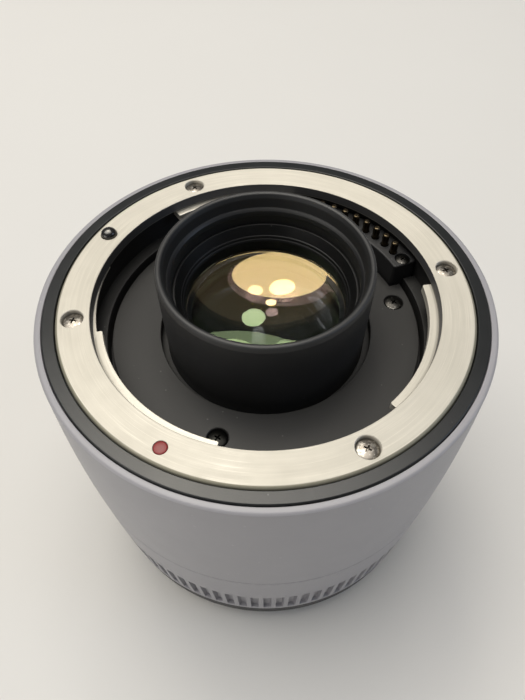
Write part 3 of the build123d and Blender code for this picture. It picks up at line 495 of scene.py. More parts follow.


# bore is the radius and height below which the inside of the tube is painted near-black as painted shade
blackLooks = {
    "blackTube": {"colour": (0.0085, 0.0087, 0.0092), "rough": 0.50, "marks": 0.12, "level": 0.7,
                  "bore": (15.15, 69.1)},
    "blackTrim": {"colour": (0.006, 0.007, 0.0075), "rough": 0.30, "depth": 0.004, "marks": 0.2},
    "blackWell": {"colour": (0.0095, 0.0092, 0.0088), "rough": 0.55, "grainSize": 0.16, "depth": 0.012},
    # blackCell is near-black anodising, painted darker than the tube's own black as painted shade inside the tube and
    # cells
    "blackCell": {"colour": (0.0020, 0.0020, 0.0022), "rough": 0.38, "marks": 0.1, "dustShare": 0.05, "level": 0.4},
}


def blackMetal(finish, colour, rough, grainSize=0.10, depth=0.006, marks=0.0, dustShare=0.10, level=0.5, bore=None):
    # anodised aluminium: faint tool marks under a matt black skin, and painted shade down the tube's bore
    grain = finish.noise(grainSize, 3, 0.6)
    turned = finish.toolMarks(0.16, 3.0, 1.0)
    clouds = finish.noise(6, 3, 0.55)
    pale = [part * 1.7 + 0.004 for part in colour]
    skin = finish.mix(clouds * 0.7 + turned * 0.3, colour, pale)
    skin = finish.mix(finish.specks(1.1, dustShare) * 0.4, skin, (0.16, 0.155, 0.15))
    under = finish.bump(turned, 0.012, marks) if marks else None
    roughness = rough + grain * 0.12 + clouds * 0.08 - 0.08
    if bore:
        radius, top = bore
        inside = finish.fade(finish.radius, radius, radius - 0.15) * finish.fade(finish.height, top + 0.1, top)
        bead = finish.band(finish.height, 67.15, 0.25) * (finish.radius < 14.85)
        # painted shade: near-black down the inside of the tube
        skin = finish.mix(inside, skin, (0.0016, 0.0016, 0.0018))
        roughness = roughness + inside * 0.12 - bead * 0.26
    return finish.shaded(baseColor=skin, metallic=0.0, roughness=roughness, level=level,
                         normal=finish.bump(grain, depth, 0.7, under))


# passed is the share of light let through, and film the share and colour of a mirror film
coatings = {
    "greenCoat": {"index": 1.85, "tint": (0.30, 0.42, 0.22), "passed": 1.0},
    "goldCoat": {"index": 1.92, "tint": (1.0, 0.76, 0.36), "passed": 1.0, "film": (0.095, (1.0, 0.78, 0.33))},
    "roseCoat": {"index": 1.62, "tint": (0.50, 0.30, 0.25), "passed": 0.5},
    "quietCoat": {"index": 1.62, "tint": (0.05, 0.07, 0.06), "passed": 0.35},
    "backCoat": {"index": 1.62, "tint": (0.30, 0.50, 0.33), "passed": 0.8},
}


def coatedGlass(finish, index, tint, passed, film=None):
    # anti-reflection coating shows as the tint of its reflections
    dusty = (passed * 0.8, passed * 0.8, passed * 0.78)
    colour = finish.mix(finish.specks(0.9, 0.10) * 0.25, (passed, passed, passed), dusty)
    return finish.shaded(baseColor=colour, roughness=0.0, index=index, transmission=1.0, tint=tint, film=film)


finishMakers = (barrelPaint, mountSteel, screwSteel, screwBlack, pinSteel, blackPlastic, shadedContactGold, indexRed,
                gasketRubber, springSteel, boardGreen, chipBlack, flexFilm)
finishes = {make.__name__: make(Finish(make.__name__)) for make in finishMakers}
for name, look in blackLooks.items():
    finishes[name] = blackMetal(Finish(name), **look)
for name, look in coatings.items():
    finishes[name] = coatedGlass(Finish(name), **look)
print("finishes ready:", len(finishes))


barrel = {"rimRadius": 35.4, "rimTop": 62.47, "rimInner": 34.3, "rimFoot": 61.77, "rimRound": 0.5,
          "widest": (35.9, 45.8), "joint": 35.72, "jointChamfer": 0.14, "footRadius": 34.8, "footTop": 11.48,
          "slot": (1.9, 49.4, 54.8), "ribs": 96, "ribLow": 13.0, "ribHigh": 21.9, "ribFloor": 34.25, "grooveShare": 0.6}


def frontBarrel():
    joint, chamfer = barrel["joint"], barrel["jointChamfer"]
    rim, inner, top = barrel["rimRadius"], barrel["rimInner"], barrel["rimTop"]
    side = arcThrough((joint, barrelJoint), barrel["widest"], (rim, barrel["rimFoot"]), 30)
    outline = [(barrelBore, mountSeat), (barrelBore, barrelJoint), (joint - chamfer, barrelJoint)]
    outline += [(side[0][0] - 0.03, side[0][1] + 0.05), (side[0][0], side[0][1] + 0.16)] + side[1:-1]
    outline += softened([(rim + 0.01, 60.5), (rim, top, barrel["rimRound"]), (inner, top, 0.14),
                         (inner, mountSeat)], 5)[1:]
    wide, low, high = barrel["slot"]
    window = boxed((8, 2 * wide, high - low), (35, 0, (low + high) / 2), edge=0.3)
    body = carved(lathe(outline, turns=288), moved(window, lockAngle))
    place("barrelFront", body, "barrelPaint", "front_barrel")


def eased(share):
    share = min(1.0, max(0.0, share))
    return share * share * (3 - 2 * share)


def rearBarrel():
    # ribs and grooves in one skin, with soft edges and rounded groove ends
    joint, bore, top = barrel["joint"], barrelBore, barrelJoint - 0.01
    foot, footTop = barrel["footRadius"], barrel["footTop"]
    low, high = barrel["ribLow"], barrel["ribHigh"]
    start, span = top - 0.12, high - low - 0.6

    def sideRadius(height):
        share = (start - height) / (start - barrelFoot)
        return joint - 0.50 * share - 0.42 * share**2

    heights = [start - step for step in (0, 1, 3, 5, 7, 9)]
    heights += [high + step for step in (0.22, 0.10, 0.0, -0.06, -0.14, -0.3)]
    heights += [high - 0.3 - span * step / 6 for step in range(1, 6)]
    heights += [low + step for step in (0.3, 0.14, 0.06, 0.0, -0.10, -0.22)] + [12.0, 11.6]
    outline = [(bore, top), (joint - barrel["jointChamfer"], top), (joint - 0.03, top - 0.05)]
    outline += [(sideRadius(height), height) for height in heights]
    outline += [(foot - 0.06, footTop), (foot - 0.3, barrelFoot), (bore, barrelFoot)]
    # angles and widths of a groove are in shares of the pitch
    pitch, half = 2 * pi / barrel["ribs"], barrel["grooveShare"] / 2
    offsets = (0.055, 0.02, -0.012, -0.06)
    steps = [-0.5, -0.38] + [-half - offset for offset in offsets] + [0.0]
    steps += [half + offset for offset in reversed(offsets)] + [0.38]
    angles = [(rib + step) * pitch for rib in range(barrel["ribs"]) for step in steps]

    def grooved(radius, height, angle):
        if radius < bore + 0.5 or not low - 0.2 < height < high + 0.2:
            return radius, height
        away = abs((angle / pitch + 0.5) % 1 - 0.5)
        across = eased((half + 0.022 - away) / 0.05)
        along = eased((min(height - low, high - height) + 0.05) / 0.16)
        return radius - (radius - barrel["ribFloor"]) * across * along, height

    body = spun(outline, angles, grooved)
    place("barrelRibbed", body, "barrelPaint", "rear_barrel", sharpAngle=50)


def leverPad():
    # ridged thumb pad of the release, standing on its neck
    look = {"inner": 36.2, "outer": 38.2, "low": 49.2, "high": 57.8, "round": 0.6, "halfAngle": 6.5, "endRound": 0.7,
            "ridges": 5, "neck": ((3.2, 3.2, 2.8), (34.9, 0, 53.1)),
            "valley": ((-0.42, 0.0), (-0.30, 0.12), (-0.18, 0.5), (0.18, 0.5), (0.30, 0.12), (0.42, 0.0))}
    inner, outer, low, high = picked(look, "inner outer low high")
    pitch = (high - low) / (look["ridges"] + 1)
    outline = [(inner, low)] + softened([(inner, low), (outer, low, look["round"]), (outer, low + 0.8)], 4)[1:-1]
    for ridge in range(look["ridges"]):
        middle = low + pitch * (ridge + 1)
        outline += [(outer - drop, middle + offset) for offset, drop in look["valley"]]
    outline += softened([(outer, high - 0.8), (outer, high, look["round"]), (inner, high)], 4)[1:]
    limit, middle, endRound = radians(look["halfAngle"]), radians(lockAngle), look["endRound"]
    ends = [0, 0.02, 0.05, 0.1, 0.16]
    shares = ends + [0.16 + 0.68 * step / 12 for step in range(1, 12)] + [1 - share for share in reversed(ends)]
    angles = [middle - limit + 2 * limit * share for share in shares]

    def ended(radius, height, angle):
        reach = (limit - abs(angle - middle)) * outer
        fall = endRound - sqrt(max(0.0, endRound**2 - max(0.0, endRound - reach) ** 2))
        return max(inner, radius - fall) if radius > inner + 0.1 else radius, height

    neck = moved(boxed(*look["neck"], edge=0.15), lockAngle)
    pad = joined(spun(outline, angles, ended, closed=False), neck)
    place("releasePad", pad, "blackPlastic", "release_lever", "release")


frontBarrel(), rearBarrel(), leverPad()
print("barrel placed")


mount = {"throat": 27.0, "outer": 32.2, "lip": 31.55, "cavity": 27.9, "lugBore": 25.55, "lugTop": 61.0, "lugFoot": 59.7,
         "lugHalves": (31.2, 27.6, 24.0), "bevel": 0.55, "sink": 0.35, "recess": 1.7, "lockHole": 1.38,
         "shank": (0.8, 56.5, 61.6)}
mountHead = {"radius": 1.6, "height": 0.9, "crown": 0.28, "cross": 1.75, "crossWidth": 0.42, "crossDepth": 0.62}


def panHead(turn, radius, height, crown, cross, crossWidth, crossDepth):
    # domed head with its highest point at height 0, and a tapered cross recess
    outline = [(0, -height), (radius, -height), (radius, -crown - 0.12), (radius - 0.04, -crown)]
    outline += [(radius * share, -crown * share**2.2) for share in (0.93, 0.8, 0.6, 0.4, 0.2, 0.0)]
    head = lathe(outline, turns=48)
    for quarter in (0, 90):
        head = carved(head, moved(boxed((cross, crossWidth, crossDepth * 2), taper=0.35), quarter + turn))
    return head


def panHeads(look, angles, turns, circle, top):
    return [moved(panHead(turn, **look), angle, circle, top) for angle, turn in zip(angles, turns)]


def rods(angles, circle, radius, low, high, turns):
    return [moved(rod(radius, low, high, turns), angle, circle) for angle in angles]


def headHole(radius, floor, top, flare):
    # recess with a broken edge
    outline = [(0, floor), (radius - 0.05, floor), (radius, floor + 0.06), (radius, top - flare), (radius + flare, top),
               (radius + flare + 0.4, top + 0.4), (0, top + 0.4)]
    return lathe(outline, turns=56)


def headHoles(angles, circle, *size):
    return [moved(headHole(*size), angle, circle) for angle in angles]


def mountRing():
    top, seat, clamp = frontFace, mountSeat, clampLevel
    throat, outer, lip, cavity, lugTop = picked(mount, "throat outer lip cavity lugTop")
    outline = softened([(throat, top, 0.16), (outer, top, mount["bevel"]), (outer, clamp), (lip, clamp), (lip, seat),
                        (cavity, seat), (cavity, lugTop), (throat, lugTop, 0.08)])
    headFoot = top - mount["sink"] - mountHead["height"]
    cutters = headHoles(screwAngles, screwCircle, mount["recess"], headFoot, top, 0.10)
    cutters += headHoles([lockAngle], lockCircle, mount["lockHole"], 53.0, top, 0.06)
    cutters += headHoles([indexAngle], lockCircle, 1.0, top - 0.6, top, 0.05)
    ring = carved(lathe(outline, turns=288), *cutters)
    lugs = [arcSlab(mount["lugBore"], cavity - 0.05, mount["lugFoot"], lugTop, middle, half, 0.10, 0.30, (2, 3))
            for middle, half in zip(lugAngles, mount["lugHalves"])]
    lugs.append(throatLedge(lugAngles[0] - mount["lugHalves"][0]))
    place("mountRing", joined(ring, *lugs), "mountSteel", "front_mount_ring")


def throatLedge(lugStart):
    # a narrow ledge runs out from the first lug along the throat
    look = {"tail": 163.0, "back": 27.6, "wall": 27.05, "inner": 26.35, "low": 60.62, "round": 0.05, "steps": 20}
    steps, tail = look["steps"], look["tail"]
    angles = [radians(tail + (lugStart + 1 - tail) * step / steps) for step in range(steps + 1)]
    plan = [(look["back"] * cos(angle), look["back"] * sin(angle)) for angle in angles]
    for step, angle in reversed(list(enumerate(angles))):
        radius = look["wall"] + (look["inner"] - look["wall"]) * step / steps
        plan.append((radius * cos(angle), radius * sin(angle)))
    return prism(plan, look["low"], mount["lugTop"] + 0.01, look["round"])


def mountScrews():
    angles, circle, top = screwAngles, screwCircle, frontFace - mount["sink"]
    screws = panHeads(mountHead, angles, (22, 68, 35, 10), circle, top) + rods(angles, circle, *mount["shank"], 24)
    place("mountScrews", joined(*screws), "screwSteel", "front_mount_screws")


def indexDot():
    outline = [(0, 62.2), (0.95, 62.2), (0.95, 62.74), (0.9, 62.79), (0.7, 62.83), (0.35, 62.84), (0, 62.84)]
    body = moved(lathe(outline, turns=48), indexAngle, lockCircle)
    place("indexDot", body, "indexRed", "front_index_dot")


def lockPin():
    pin = {"radius": 1.33, "top": 63.95, "foot": 54.2, "dome": 1.05, "domeSteps": 10}
    outline = [(0.0, pin["foot"]), (pin["radius"], pin["foot"])]
    for step in range(pin["domeSteps"] + 1):
        turn = pi / 2 * step / pin["domeSteps"]
        outline.append((pin["radius"] * cos(turn), pin["top"] - pin["dome"] * (1 - sin(turn))))
    body = moved(lathe(outline, turns=56), lockAngle, lockCircle)
    place("lockPin", body, "pinSteel", "lens_lock_pin", "release")


def trimRing():
    trim = {"seatBore": 31.65, "bore": 32.3, "outer": 34.2, "top": 62.7, "outerRound": 0.22, "boreRound": 0.16}
    low, top, seatBore = mountSeat, trim["top"], trim["seatBore"]
    outline = softened([(seatBore, low), (trim["outer"], low), (trim["outer"], top, trim["outerRound"]),
                        (trim["bore"], top, trim["boreRound"]), (trim["bore"], clampLevel),
                        (seatBore, clampLevel)])
    body = lathe(outline, turns=288)
    place("trimRing", body, "blackTrim", "front_trim_ring")


mountRing(), mountScrews(), indexDot(), lockPin(), trimRing()
print("mount placed")


# The well: its casting, floor plate, contact block and pins
well = {"plateInner": 17.3, "plateOuter": 25.2, "plateLow": 54.3, "plateScrewCircle": 22.4,
        "blockInner": 23.5, "blockOuter": 27.8, "blockLow": 53.35, "blockTop": 59.6, "blockHalf": 31.2,
        "notchHalf": 31.9, "pinCircle": 25.4, "pinRadius": 0.62, "pinCollar": 0.88, "pinFoot": 57.4, "pinTip": 61.8,
        "pinPitch": 5.2, "pinRound": 0.34, "blockScrewCircle": 25.9, "blockScrewTurn": 28.2, "ledgeTop": 56.3}
plateHead = {"radius": 1.5, "height": 0.7, "crown": 0.25, "cross": 1.7, "crossWidth": 0.40, "crossDepth": 0.52}
blockHead = {"radius": 1.2, "height": 0.7, "crown": 0.2, "cross": 1.35, "crossWidth": 0.34, "crossDepth": 0.45}
pinAngles = [contactAngle + well["pinPitch"] * (number - 4.5) for number in range(10)]
blockScrewAngles = [contactAngle + well["blockScrewTurn"] * side for side in (-1, 1)]


def frontFrame():
    # casting round the well; its ledge lies just above the floor plate
    look = {"outside": [(33.3, 56.4), (31.2, 56.4), (31.2, 50.2), (29.9, 50.2), (29.9, 47.2)], "tubeBore": 16.36,
            "ledge": 25.75, "pocket": 24.9, "sliderRoom": ((5.0, 5.0, 10.7), (30.6, 0, 50.95)),
            "cableSlot": (26.75, 28.3, 48.0, 54.0)}
    seat, web, cavity, ledgeTop = mountSeat, webTop, mount["cavity"], well["ledgeTop"]
    outer, low, foot = look["outside"][0][0], look["outside"][3][1], look["outside"][4][1]
    outline = softened([(cavity, seat), (outer, seat, 0.2)] + look["outside"] + [
        (cavity, foot), (cavity, low), (look["tubeBore"], low), (look["tubeBore"], web), (look["ledge"], web),
        (look["ledge"], ledgeTop, 0.12), (cavity, ledgeTop)])
    pockets = [arcSlab(look["pocket"], cavity, web, 61.5, contactAngle, well["notchHalf"]),
               moved(boxed(*look["sliderRoom"]), lockAngle)]
    cutters = [arcSlab(*look["cableSlot"], contactAngle, 7.0)]
    cutters += rods([lockAngle], lockCircle, mount["lockHole"], 50.0, 61.5, 48)
    cutters += rods(screwAngles, screwCircle, 0.85, 55.8, 61.0, 32)
    postOutline = [(0.55, 53.1), (1.9, 53.1), (1.9, 54.2), (1.8, 54.3), (0.55, 54.3)]
    posts = [moved(lathe(postOutline, turns=40), angle, well["plateScrewCircle"]) for angle in innerScrewAngles]
    body = carved(carved(lathe(outline), *pockets), *cutters)
    place("frontFrame", joined(body, *posts), "blackWell", "front_frame")


def floorPlate():
    top, low, inner, outer = plateTop, well["plateLow"], well["plateInner"], well["plateOuter"]
    outline = softened([(inner, low), (outer, low), (outer, top, 0.15), (inner, top, 0.15)])
    cutters = headHoles(innerScrewAngles, well["plateScrewCircle"], 1.6, top - 0.6, top, 0.12)
    cutters.append(arcSlab(23.2, 27.0, 53.0, 57.0, contactAngle, well["notchHalf"]))
    body = carved(lathe(outline), *cutters)
    place("floorPlate", body, "blackWell", "floor_plate")


def plateScrews():
    angles, circle = innerScrewAngles, well["plateScrewCircle"]
    screws = panHeads(plateHead, angles, (40, 15, 75), circle, 55.4) + rods(angles, circle, 0.5, 52.2, 54.8, 20)
    place("plateScrews", joined(*screws), "screwBlack", "floor_plate_screws")


def contactBlock():
    top = well["blockTop"]
    block = arcSlab(well["blockInner"], well["blockOuter"], well["blockLow"], top, contactAngle,
                    well["blockHalf"], 0.28, 0.5)
    cutters = headHoles(pinAngles, well["pinCircle"], well["pinRadius"] + 0.05, 58.0, top, 0.12)
    cutters += headHoles(blockScrewAngles, well["blockScrewCircle"], blockHead["radius"] + 0.1, 58.9, top, 0.1)
    place("contactBlock", carved(block, *cutters), "blackPlastic", "contact_block")


def blockScrews():
    screws = panHeads(blockHead, blockScrewAngles, (20, 60), well["blockScrewCircle"], well["blockTop"])
    place("blockScrews", joined(*screws), "screwBlack", "contact_block_screws")


def contactPins():
    radius, collar, foot, tip = picked(well, "pinRadius pinCollar pinFoot pinTip")
    outline = softened([(0.0, foot), (collar, foot), (collar, foot + 0.8), (radius, foot + 0.8),
                        (radius, tip, well["pinRound"]), (0.0, tip)], 6)
    for number, angle in enumerate(pinAngles, 1):
        body = moved(lathe(outline, turns=32), angle, well["pinCircle"])
        name = "contact_pin_%02d" % number
        place("contactPin%02d" % number, body, "shadedContactGold", name, name)


frontFrame(), floorPlate(), plateScrews(), contactBlock(), blockScrews(), contactPins()
print("well placed")


tube = {"radius": 16.3, "mouth": 14.35, "glassBore": 12.95, "backBore": 11.7, "body": 15.4, "foot": 28.25,
        "flange": 20.5, "flangeTop": 50.2, "flangeLow": 48.4, "glassSeat": 29.65, "ringSeat": 60.25,
        "lip": [(16.3, 68.9, 0.5), (16.12, 69.62, 0.35), (15.72, 69.86, 0.5), (15.32, 69.64, 0.3), (15.08, 69.0, 0.3),
                (14.78, 67.45, 0.15), (14.55, 67.25, 0.16), (14.28, 67.0, 0.18), (14.2, 66.3, 0.1), (14.35, 66.0)]}


def lensTube():
    radius, body, foot, flange = picked(tube, "radius body foot flange")
    bore, backBore, seat, ringSeat = picked(tube, "glassBore backBore glassSeat ringSeat")
    outline = [(radius, tube["flangeTop"])]
    outline += softened([(radius, 60.0)] + tube["lip"] + [(tube["mouth"], ringSeat)], 5)[1:]
    outline += [(bore, ringSeat), (bore, seat), (backBore, seat), (backBore, foot), (body, foot),
                (body, tube["flangeLow"]), (flange, tube["flangeLow"]), (flange, tube["flangeTop"])]
    place("lensTube", lathe(outline, turns=256), "blackTube", "lens_tube")


def frontRetainer():
    # a smooth cone and two thin steps lead down to the glass
    steps = [(14.3, 64.55, 0.08), (13.9, 64.55, 0.10), (13.15, 62.85, 0.10), (13.0, 62.75, 0.06),
             (12.88, 62.35, 0.05), (12.75, 62.25, 0.05), (12.6, 61.9, 0.05)]
    outline = softened([(14.3, tube["ringSeat"])] + steps + [(12.6, tube["ringSeat"])], 3)
    place("frontRetainer", lathe(outline), "blackCell", "front_retaining_ring")


# number, glass radius, clear radius, rim top, front curve, thickness, back curve, front coating, back coating
glassLook = [
    (1, 12.9, 12.7, 60.10, 90.04, 3.990, 59.99, "greenCoat", "goldCoat"),
    (2, 12.9, 11.6, 56.1426, -70.05, 1.425, -30.06, "roseCoat", "quietCoat"),
    (3, 12.9, 11.6, 51.4118, 30.06, 5.586, 79.98, "quietCoat", "quietCoat"),
    (4, 12.9, 11.6, 41.4785, 59.99, 1.482, -23.99, "quietCoat", "quietCoat"),
    (5, 12.9, 11.6, 38.1284, 23.99, 9.006, 22.06, "quietCoat", "quietCoat"),
    (6, 12.9, 11.6, 35.3991, -22.06, 1.482, -70.05, "quietCoat", "quietCoat"),
    (7, 12.0, 10.7, 26.0536, 39.96, 5.985, 27.96, "quietCoat", "quietCoat"),
    (8, 12.0, 10.7, 23.6462, -27.96, 1.425, -90.0, "quietCoat", "roseCoat"),
    (9, 12.0, 10.7, 14.4545, 54.96, 3.192, 200.4, "quietCoat", "backCoat"),
]


def faceRise(radius, clear, curve):
    # height of a spherical face over its flat seat, negative where it is hollow
    rise = sqrt(curve**2 - radius**2) - sqrt(curve**2 - clear**2)
    return rise if curve > 0 else -rise


def glassElements():
    shares = [step / 36 for step in range(37)]
    for number, radius, clear, rimTop, front, thickness, back, frontCoat, backCoat in glassLook:
        rimFoot = rimTop + faceRise(0, clear, front) - thickness + faceRise(0, clear, back)
        outline = [(clear * share, rimTop + faceRise(clear * share, clear, front)) for share in shares]
        outline += [(radius, rimTop), (radius, rimFoot)]
        outline += [(clear * share, rimFoot - faceRise(clear * share, clear, back)) for share in reversed(shares)]
        body = lathe(outline, turns=160)
        glass = place("glass%d" % number, body, frontCoat, "lens_element_%d" % number, sharpAngle=25)
        glass.data.materials.append(finishes[backCoat])
        for face in glass.data.polygons:
            face.material_index = 1 if face.normal.z < -0.3 else 0   # faces that look down carry the back coating


lensTube(), frontRetainer(), glassElements()
print("tube and glass placed")


# The camera end
rear = {"flange": 32.4, "lip": 31.75, "lipLevel": 7.4, "seat": 8.2, "boss": 24.9, "bossBore": 23.3, "tabBore": 24.4,
        "tabRadius": 26.8, "tabTop": 2.4, "tabFoot": 1.1, "tabHalves": (23.0, 25.0, 23.0), "lockHole": 1.6,
        "ringOuter": 34.5, "ringTop": 11.3, "beadHeight": 9.25, "beadSeat": 33.9}


def flipped(body):
    # turns a piece drawn head up so that its head faces down
    body.transform(Matrix.Rotation(pi, 4, "X"))
    return body


def sideways(body):
    # lays a piece drawn upright out along the axis of the red bead
    body.transform(Matrix.Translation((0, 0, rear["beadHeight"])) @ Matrix.Rotation(pi / 2, 4, "Y"))
    return moved(body, rearIndexAngle)


def rearMount():
    face, flange, seat, boss = rearFace, rear["flange"], rear["seat"], rear["boss"]
    outline = softened([
        (rear["bossBore"], seat), (rear["bossBore"], 0.0, 0.15), (boss, 0.0, 0.3), (boss, face, 0.06),
        (flange, face, 0.35), (flange, rear["lipLevel"]), (rear["lip"], rear["lipLevel"]), (rear["lip"], seat),
    ])
    cutters = [moved(flipped(headHole(mount["recess"], -(face + 1.25), -face, 0.10)), angle, screwCircle)
               for angle in screwAngles]
    lockHole = flipped(headHole(rear["lockHole"], -(face + 1.9), -face, 0.12))
    cutters.append(moved(lockHole, lockAngle, lockCircle))
    ring = carved(lathe(outline, turns=288), *cutters)
    tabs = [arcSlab(rear["tabBore"], rear["tabRadius"], rear["tabFoot"], rear["tabTop"], middle, half, 0.22, 0.6,
                    (0, 1))
            for middle, half in zip(lugAngles, rear["tabHalves"])]
    place("rearMount", joined(ring, *tabs), "mountSteel", "rear_mount_ring")


def rearScrews():
    top = rearFace + mount["sink"]
    heads = [moved(flipped(panHead(turn, **mountHead)), angle, screwCircle, top)
             for angle, turn in zip(screwAngles, (12, 50, 80, 33))]
    place("rearScrews", joined(*heads), "screwSteel", "rear_mount_screws")


def rearRing():
    outer, top, seat, level, lip = rear["ringOuter"], rear["ringTop"], rear["seat"], rear["lipLevel"], rear["lip"] + 0.1
    outline = softened([(32.5, 7.2), (outer, 7.2, 0.3), (outer, top), (33.4, top), (33.4, seat), (lip, seat),
                        (lip, level), (32.5, level)])
    seatLevel = rear["beadSeat"]
    dimple = lathe([(0, seatLevel), (0.95, seatLevel), (0.95, 34.4), (1.1, 34.6), (1.1, 35.5), (0, 35.5)], turns=40)
    body = carved(lathe(outline, turns=256), sideways(dimple))
    place("rearRing", body, "blackPlastic", "rear_ring")


def rearBead():
    bead = {"radius": 0.9, "top": 34.85, "round": 0.34}
    radius, low, top = bead["radius"], rear["beadSeat"], bead["top"]
    outline = softened([(0.0, low), (radius, low), (radius, top, bead["round"]), (0.0, top)], 6)
    body = sideways(lathe(outline, turns=40))
    place("rearIndexBead", body, "indexRed", "rear_index_mark")


def gasket():
    # a flat foot that thins to a lip
    outline = softened([(32.5, 7.2), (34.0, 7.2, 0.1), (34.0, 6.3, 0.2), (33.3, 5.3, 0.18), (32.9, 5.3, 0.15),
                        (32.5, 6.3)])
    place("mountGasket", lathe(outline), "gasketRubber", "mount_gasket")


def rearBaffle():
    # disc with a flared tube whose inside is threaded against stray light
    look = {"outer": 25.9, "top": 9.2, "disc": 1.0, "tube": 18.5, "mouth": 17.4, "low": 4.0, "threads": 9, "flare": 2.5}
    outer, top, body, mouth, low = picked(look, "outer top tube mouth low")
    outline = [(mouth - look["flare"], top), (outer, top), (outer, top - look["disc"]), (body, top - look["disc"])]
    outline += softened([outline[-1], (body, low, 0.15), (mouth, low, 0.15), (mouth, low + 0.4)], 3)[1:]
    for step in range(look["threads"]):
        share = step / look["threads"]
        radius, height = mouth - look["flare"] * share, low + 0.4 + 4.7 * share
        outline += [(radius + 0.12, height + 0.08), (radius - 0.12, height + 0.30)]
    notch = arcSlab(20.0, 27.0, 7.6, 10.0, contactAngle, well["notchHalf"])
    baffle = carved(lathe(outline, turns=200), notch)
    place("rearBaffle", baffle, "blackPlastic", "rear_light_baffle")


def rearContacts():
    look = {"block": (20.3, 23.2, 0.6, 9.32), "pad": (1.7, 1.22, 0.3), "padCircle": 21.75, "padLevel": 0.63}
    block = arcSlab(*look["block"], contactAngle, well["blockHalf"], 0.28, 0.5)
    place("rearContactBlock", block, "blackPlastic", "rear_contact_block")
    pads = [moved(boxed(look["pad"], edge=0.05), angle, look["padCircle"], look["padLevel"]) for angle in pinAngles]
    place("rearContactPads", joined(*pads), "shadedContactGold", "rear_contact_pads")


def rearRetainer():
    look = {"bore": 10.75, "outer": 13.3, "low": 10.6, "top": 12.6, "slot": ((1.4, 1.4, 1.0), (12.6, 0, 10.6))}
    bore, outer, low, top = picked(look, "bore outer low top")
    outline = softened([(bore, low, 0.1), (outer, low, 0.1), (outer, top), (bore, top)])
    body = carved(lathe(outline, turns=160), *(moved(boxed(*look["slot"]), angle) for angle in (20, 200)))
    place("rearRetainer", body, "blackCell", "rear_retaining_ring")


rearMount(), rearScrews(), rearRing(), rearBead(), gasket(), rearBaffle(), rearContacts(), rearRetainer()
print("camera end placed")


# Pieces that keep the shape the CAD gave them
carried = {
    "springSteel": ["mount_leaf_springs", "contact_springs", "lock_pin_spring"], "blackWell": ["rear_frame"],
    "blackCell": ["front_spacer", "middle_spacer", "rear_spacer", "rear_lens_cell"], "blackPlastic": ["release_slider"],
    "boardGreen": ["circuit_board"], "chipBlack": ["circuit_chip"], "flexFilm": ["front_flex_cable", "rear_flex_cable"],
    "screwSteel": ["lens_tube_screws", "rear_cell_screws", "circuit_board_screws"],
}
for finishName, nodeNames in carried.items():
    for nodeName in nodeNames:
        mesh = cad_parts[nodeName].data
        mesh.materials.clear()
        mesh.materials.append(finishes[finishName])
print("carried pieces finished")


# The floor, the lamps and the camera
stage = {"floorColour": (0.68, 0.672, 0.655), "floorSize": 3.0, "floorRough": 0.8, "opening": 23.0,
         "worldColour": (0.95, 0.96, 1.0, 1), "worldLevel": 0.15}
lamps = [
    # name, place, aim, width, height, watts, colour
    ("ceilingLamp", (-0.384, 0.180, 1.26), (-0.384, 0.1801, 0.0), 1.768, 1.126, 18.0, (1.0, 0.965, 0.90)),
    ("bulbLamp", (-0.183, 0.360, 1.00), (0, 0, 0.057), 0.30, 0.26, 1.5, (1.0, 0.93, 0.78)),
    ("spotLamp", (-0.046, 0.52, 0.79), (0, 0, 0.061), 0.10, 0.10, 0.32, (1.0, 0.95, 0.85)),
    ("smallLamp", (0.121, 0.424, 1.04), (0, 0, 0.057), 0.17, 0.17, 0.42, (1.0, 0.93, 0.86)),
    ("windowLamp", (0.97, -0.14, 0.48), (0, 0, 0.05), 0.5, 0.5, 1.5, (0.60, 0.75, 1.0)),
    ("fillLamp", (-0.80, -0.66, 0.24), (0, 0, 0.04), 0.9, 0.5, 1.9, (1.0, 0.97, 0.94)),
    ("underLamp", (0.02, -0.05, -0.25), (0, 0, 0.01), 0.16, 0.16, 0.35, (1.0, 0.98, 0.95)),
]
viewpoint = {"place": (-0.000544, -0.059234, 0.127395), "right": (0.99997148, -0.00605701, -0.00451078),
             "up": (0.00755212, 0.80200463, 0.59727007), "back": (0.0, -0.5972871, 0.80202751),
             "lens": 28.8, "sensor": 36.0, "near": 0.005, "far": 20}


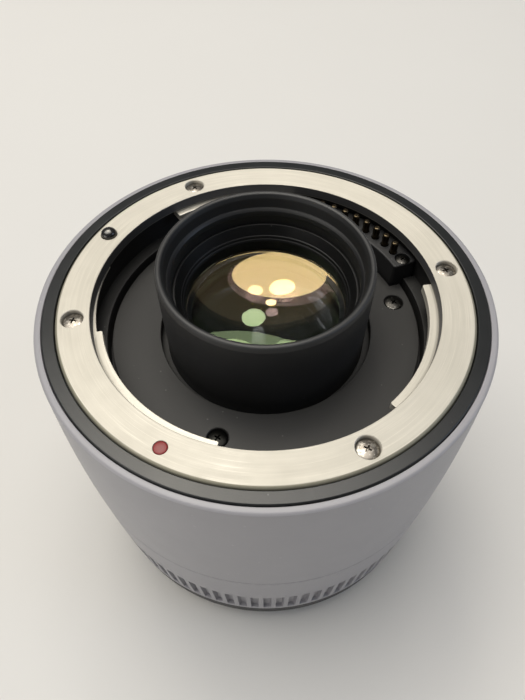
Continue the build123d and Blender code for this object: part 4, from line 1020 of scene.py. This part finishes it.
def floorPiece():
    # pale matt floor that shows only its upper side and opens under the rear boss, to let the object be seen from below
    finish = Finish("paleFloor")
    grain = finish.noise(1.2, 3, 0.6)
    tone = finish.noise(60, 2, 0.5)
    deeper = [level * 0.96 for level in stage["floorColour"]]
    colour = finish.mix(tone * 0.6 + grain * 0.2, deeper, stage["floorColour"])
    surface = finish.node("BsdfPrincipled", {}, {"Base Color": colour, "Roughness": stage["floorRough"],
                                                 "Normal": finish.bump(grain, 0.02, 0.3)})
    opened = finish.node("NewGeometry", out="Backfacing") + (finish.radius < stage["opening"])
    clear = finish.node("BsdfTransparent")
    body = bmesh.new()
    half = stage["floorSize"] / 2
    body.faces.new([body.verts.new((x * half, y * half, 0.0)) for x, y in ((-1, -1), (1, -1), (1, 1), (-1, 1))])
    mesh = meshOf("floor", body)
    mesh.materials.append(finish.closed(finish.node("MixShader", {}, {0: opened, 1: surface, 2: clear})))
    linked("floor", mesh)


def lampPieces():
    for name, spot, aim, width, height, watts, colour in lamps:
        light = bpy.data.lights.new(name, "AREA")
        light.shape, light.size, light.size_y = "ELLIPSE", width, height
        light.energy, light.color = watts, colour
        lamp = linked(name, light)
        lamp.location = spot
        lamp.rotation_euler = (Vector(aim) - Vector(spot)).to_track_quat("-Z", "Y").to_euler()


def paleRoom():
    world = bpy.data.worlds.new("paleRoom")
    world.use_nodes = True
    background = world.node_tree.nodes["Background"]
    background.inputs["Color"].default_value = stage["worldColour"]
    background.inputs["Strength"].default_value = stage["worldLevel"]
    bpy.context.scene.world = world


def cameraPiece():
    data = bpy.data.cameras.new("viewCamera")
    data.sensor_fit, data.sensor_height, data.lens = "VERTICAL", viewpoint["sensor"], viewpoint["lens"]
    data.clip_start, data.clip_end = viewpoint["near"], viewpoint["far"]
    camera = linked("viewCamera", data)
    axes = Matrix((viewpoint["right"], viewpoint["up"], viewpoint["back"])).transposed().to_4x4()
    camera.matrix_world = Matrix.Translation(viewpoint["place"]) @ axes
    bpy.context.scene.camera = camera


floorPiece(), lampPieces(), paleRoom(), cameraPiece()
bpy.context.scene.view_settings.view_transform = "Standard"
print("stage, lamps and camera placed")
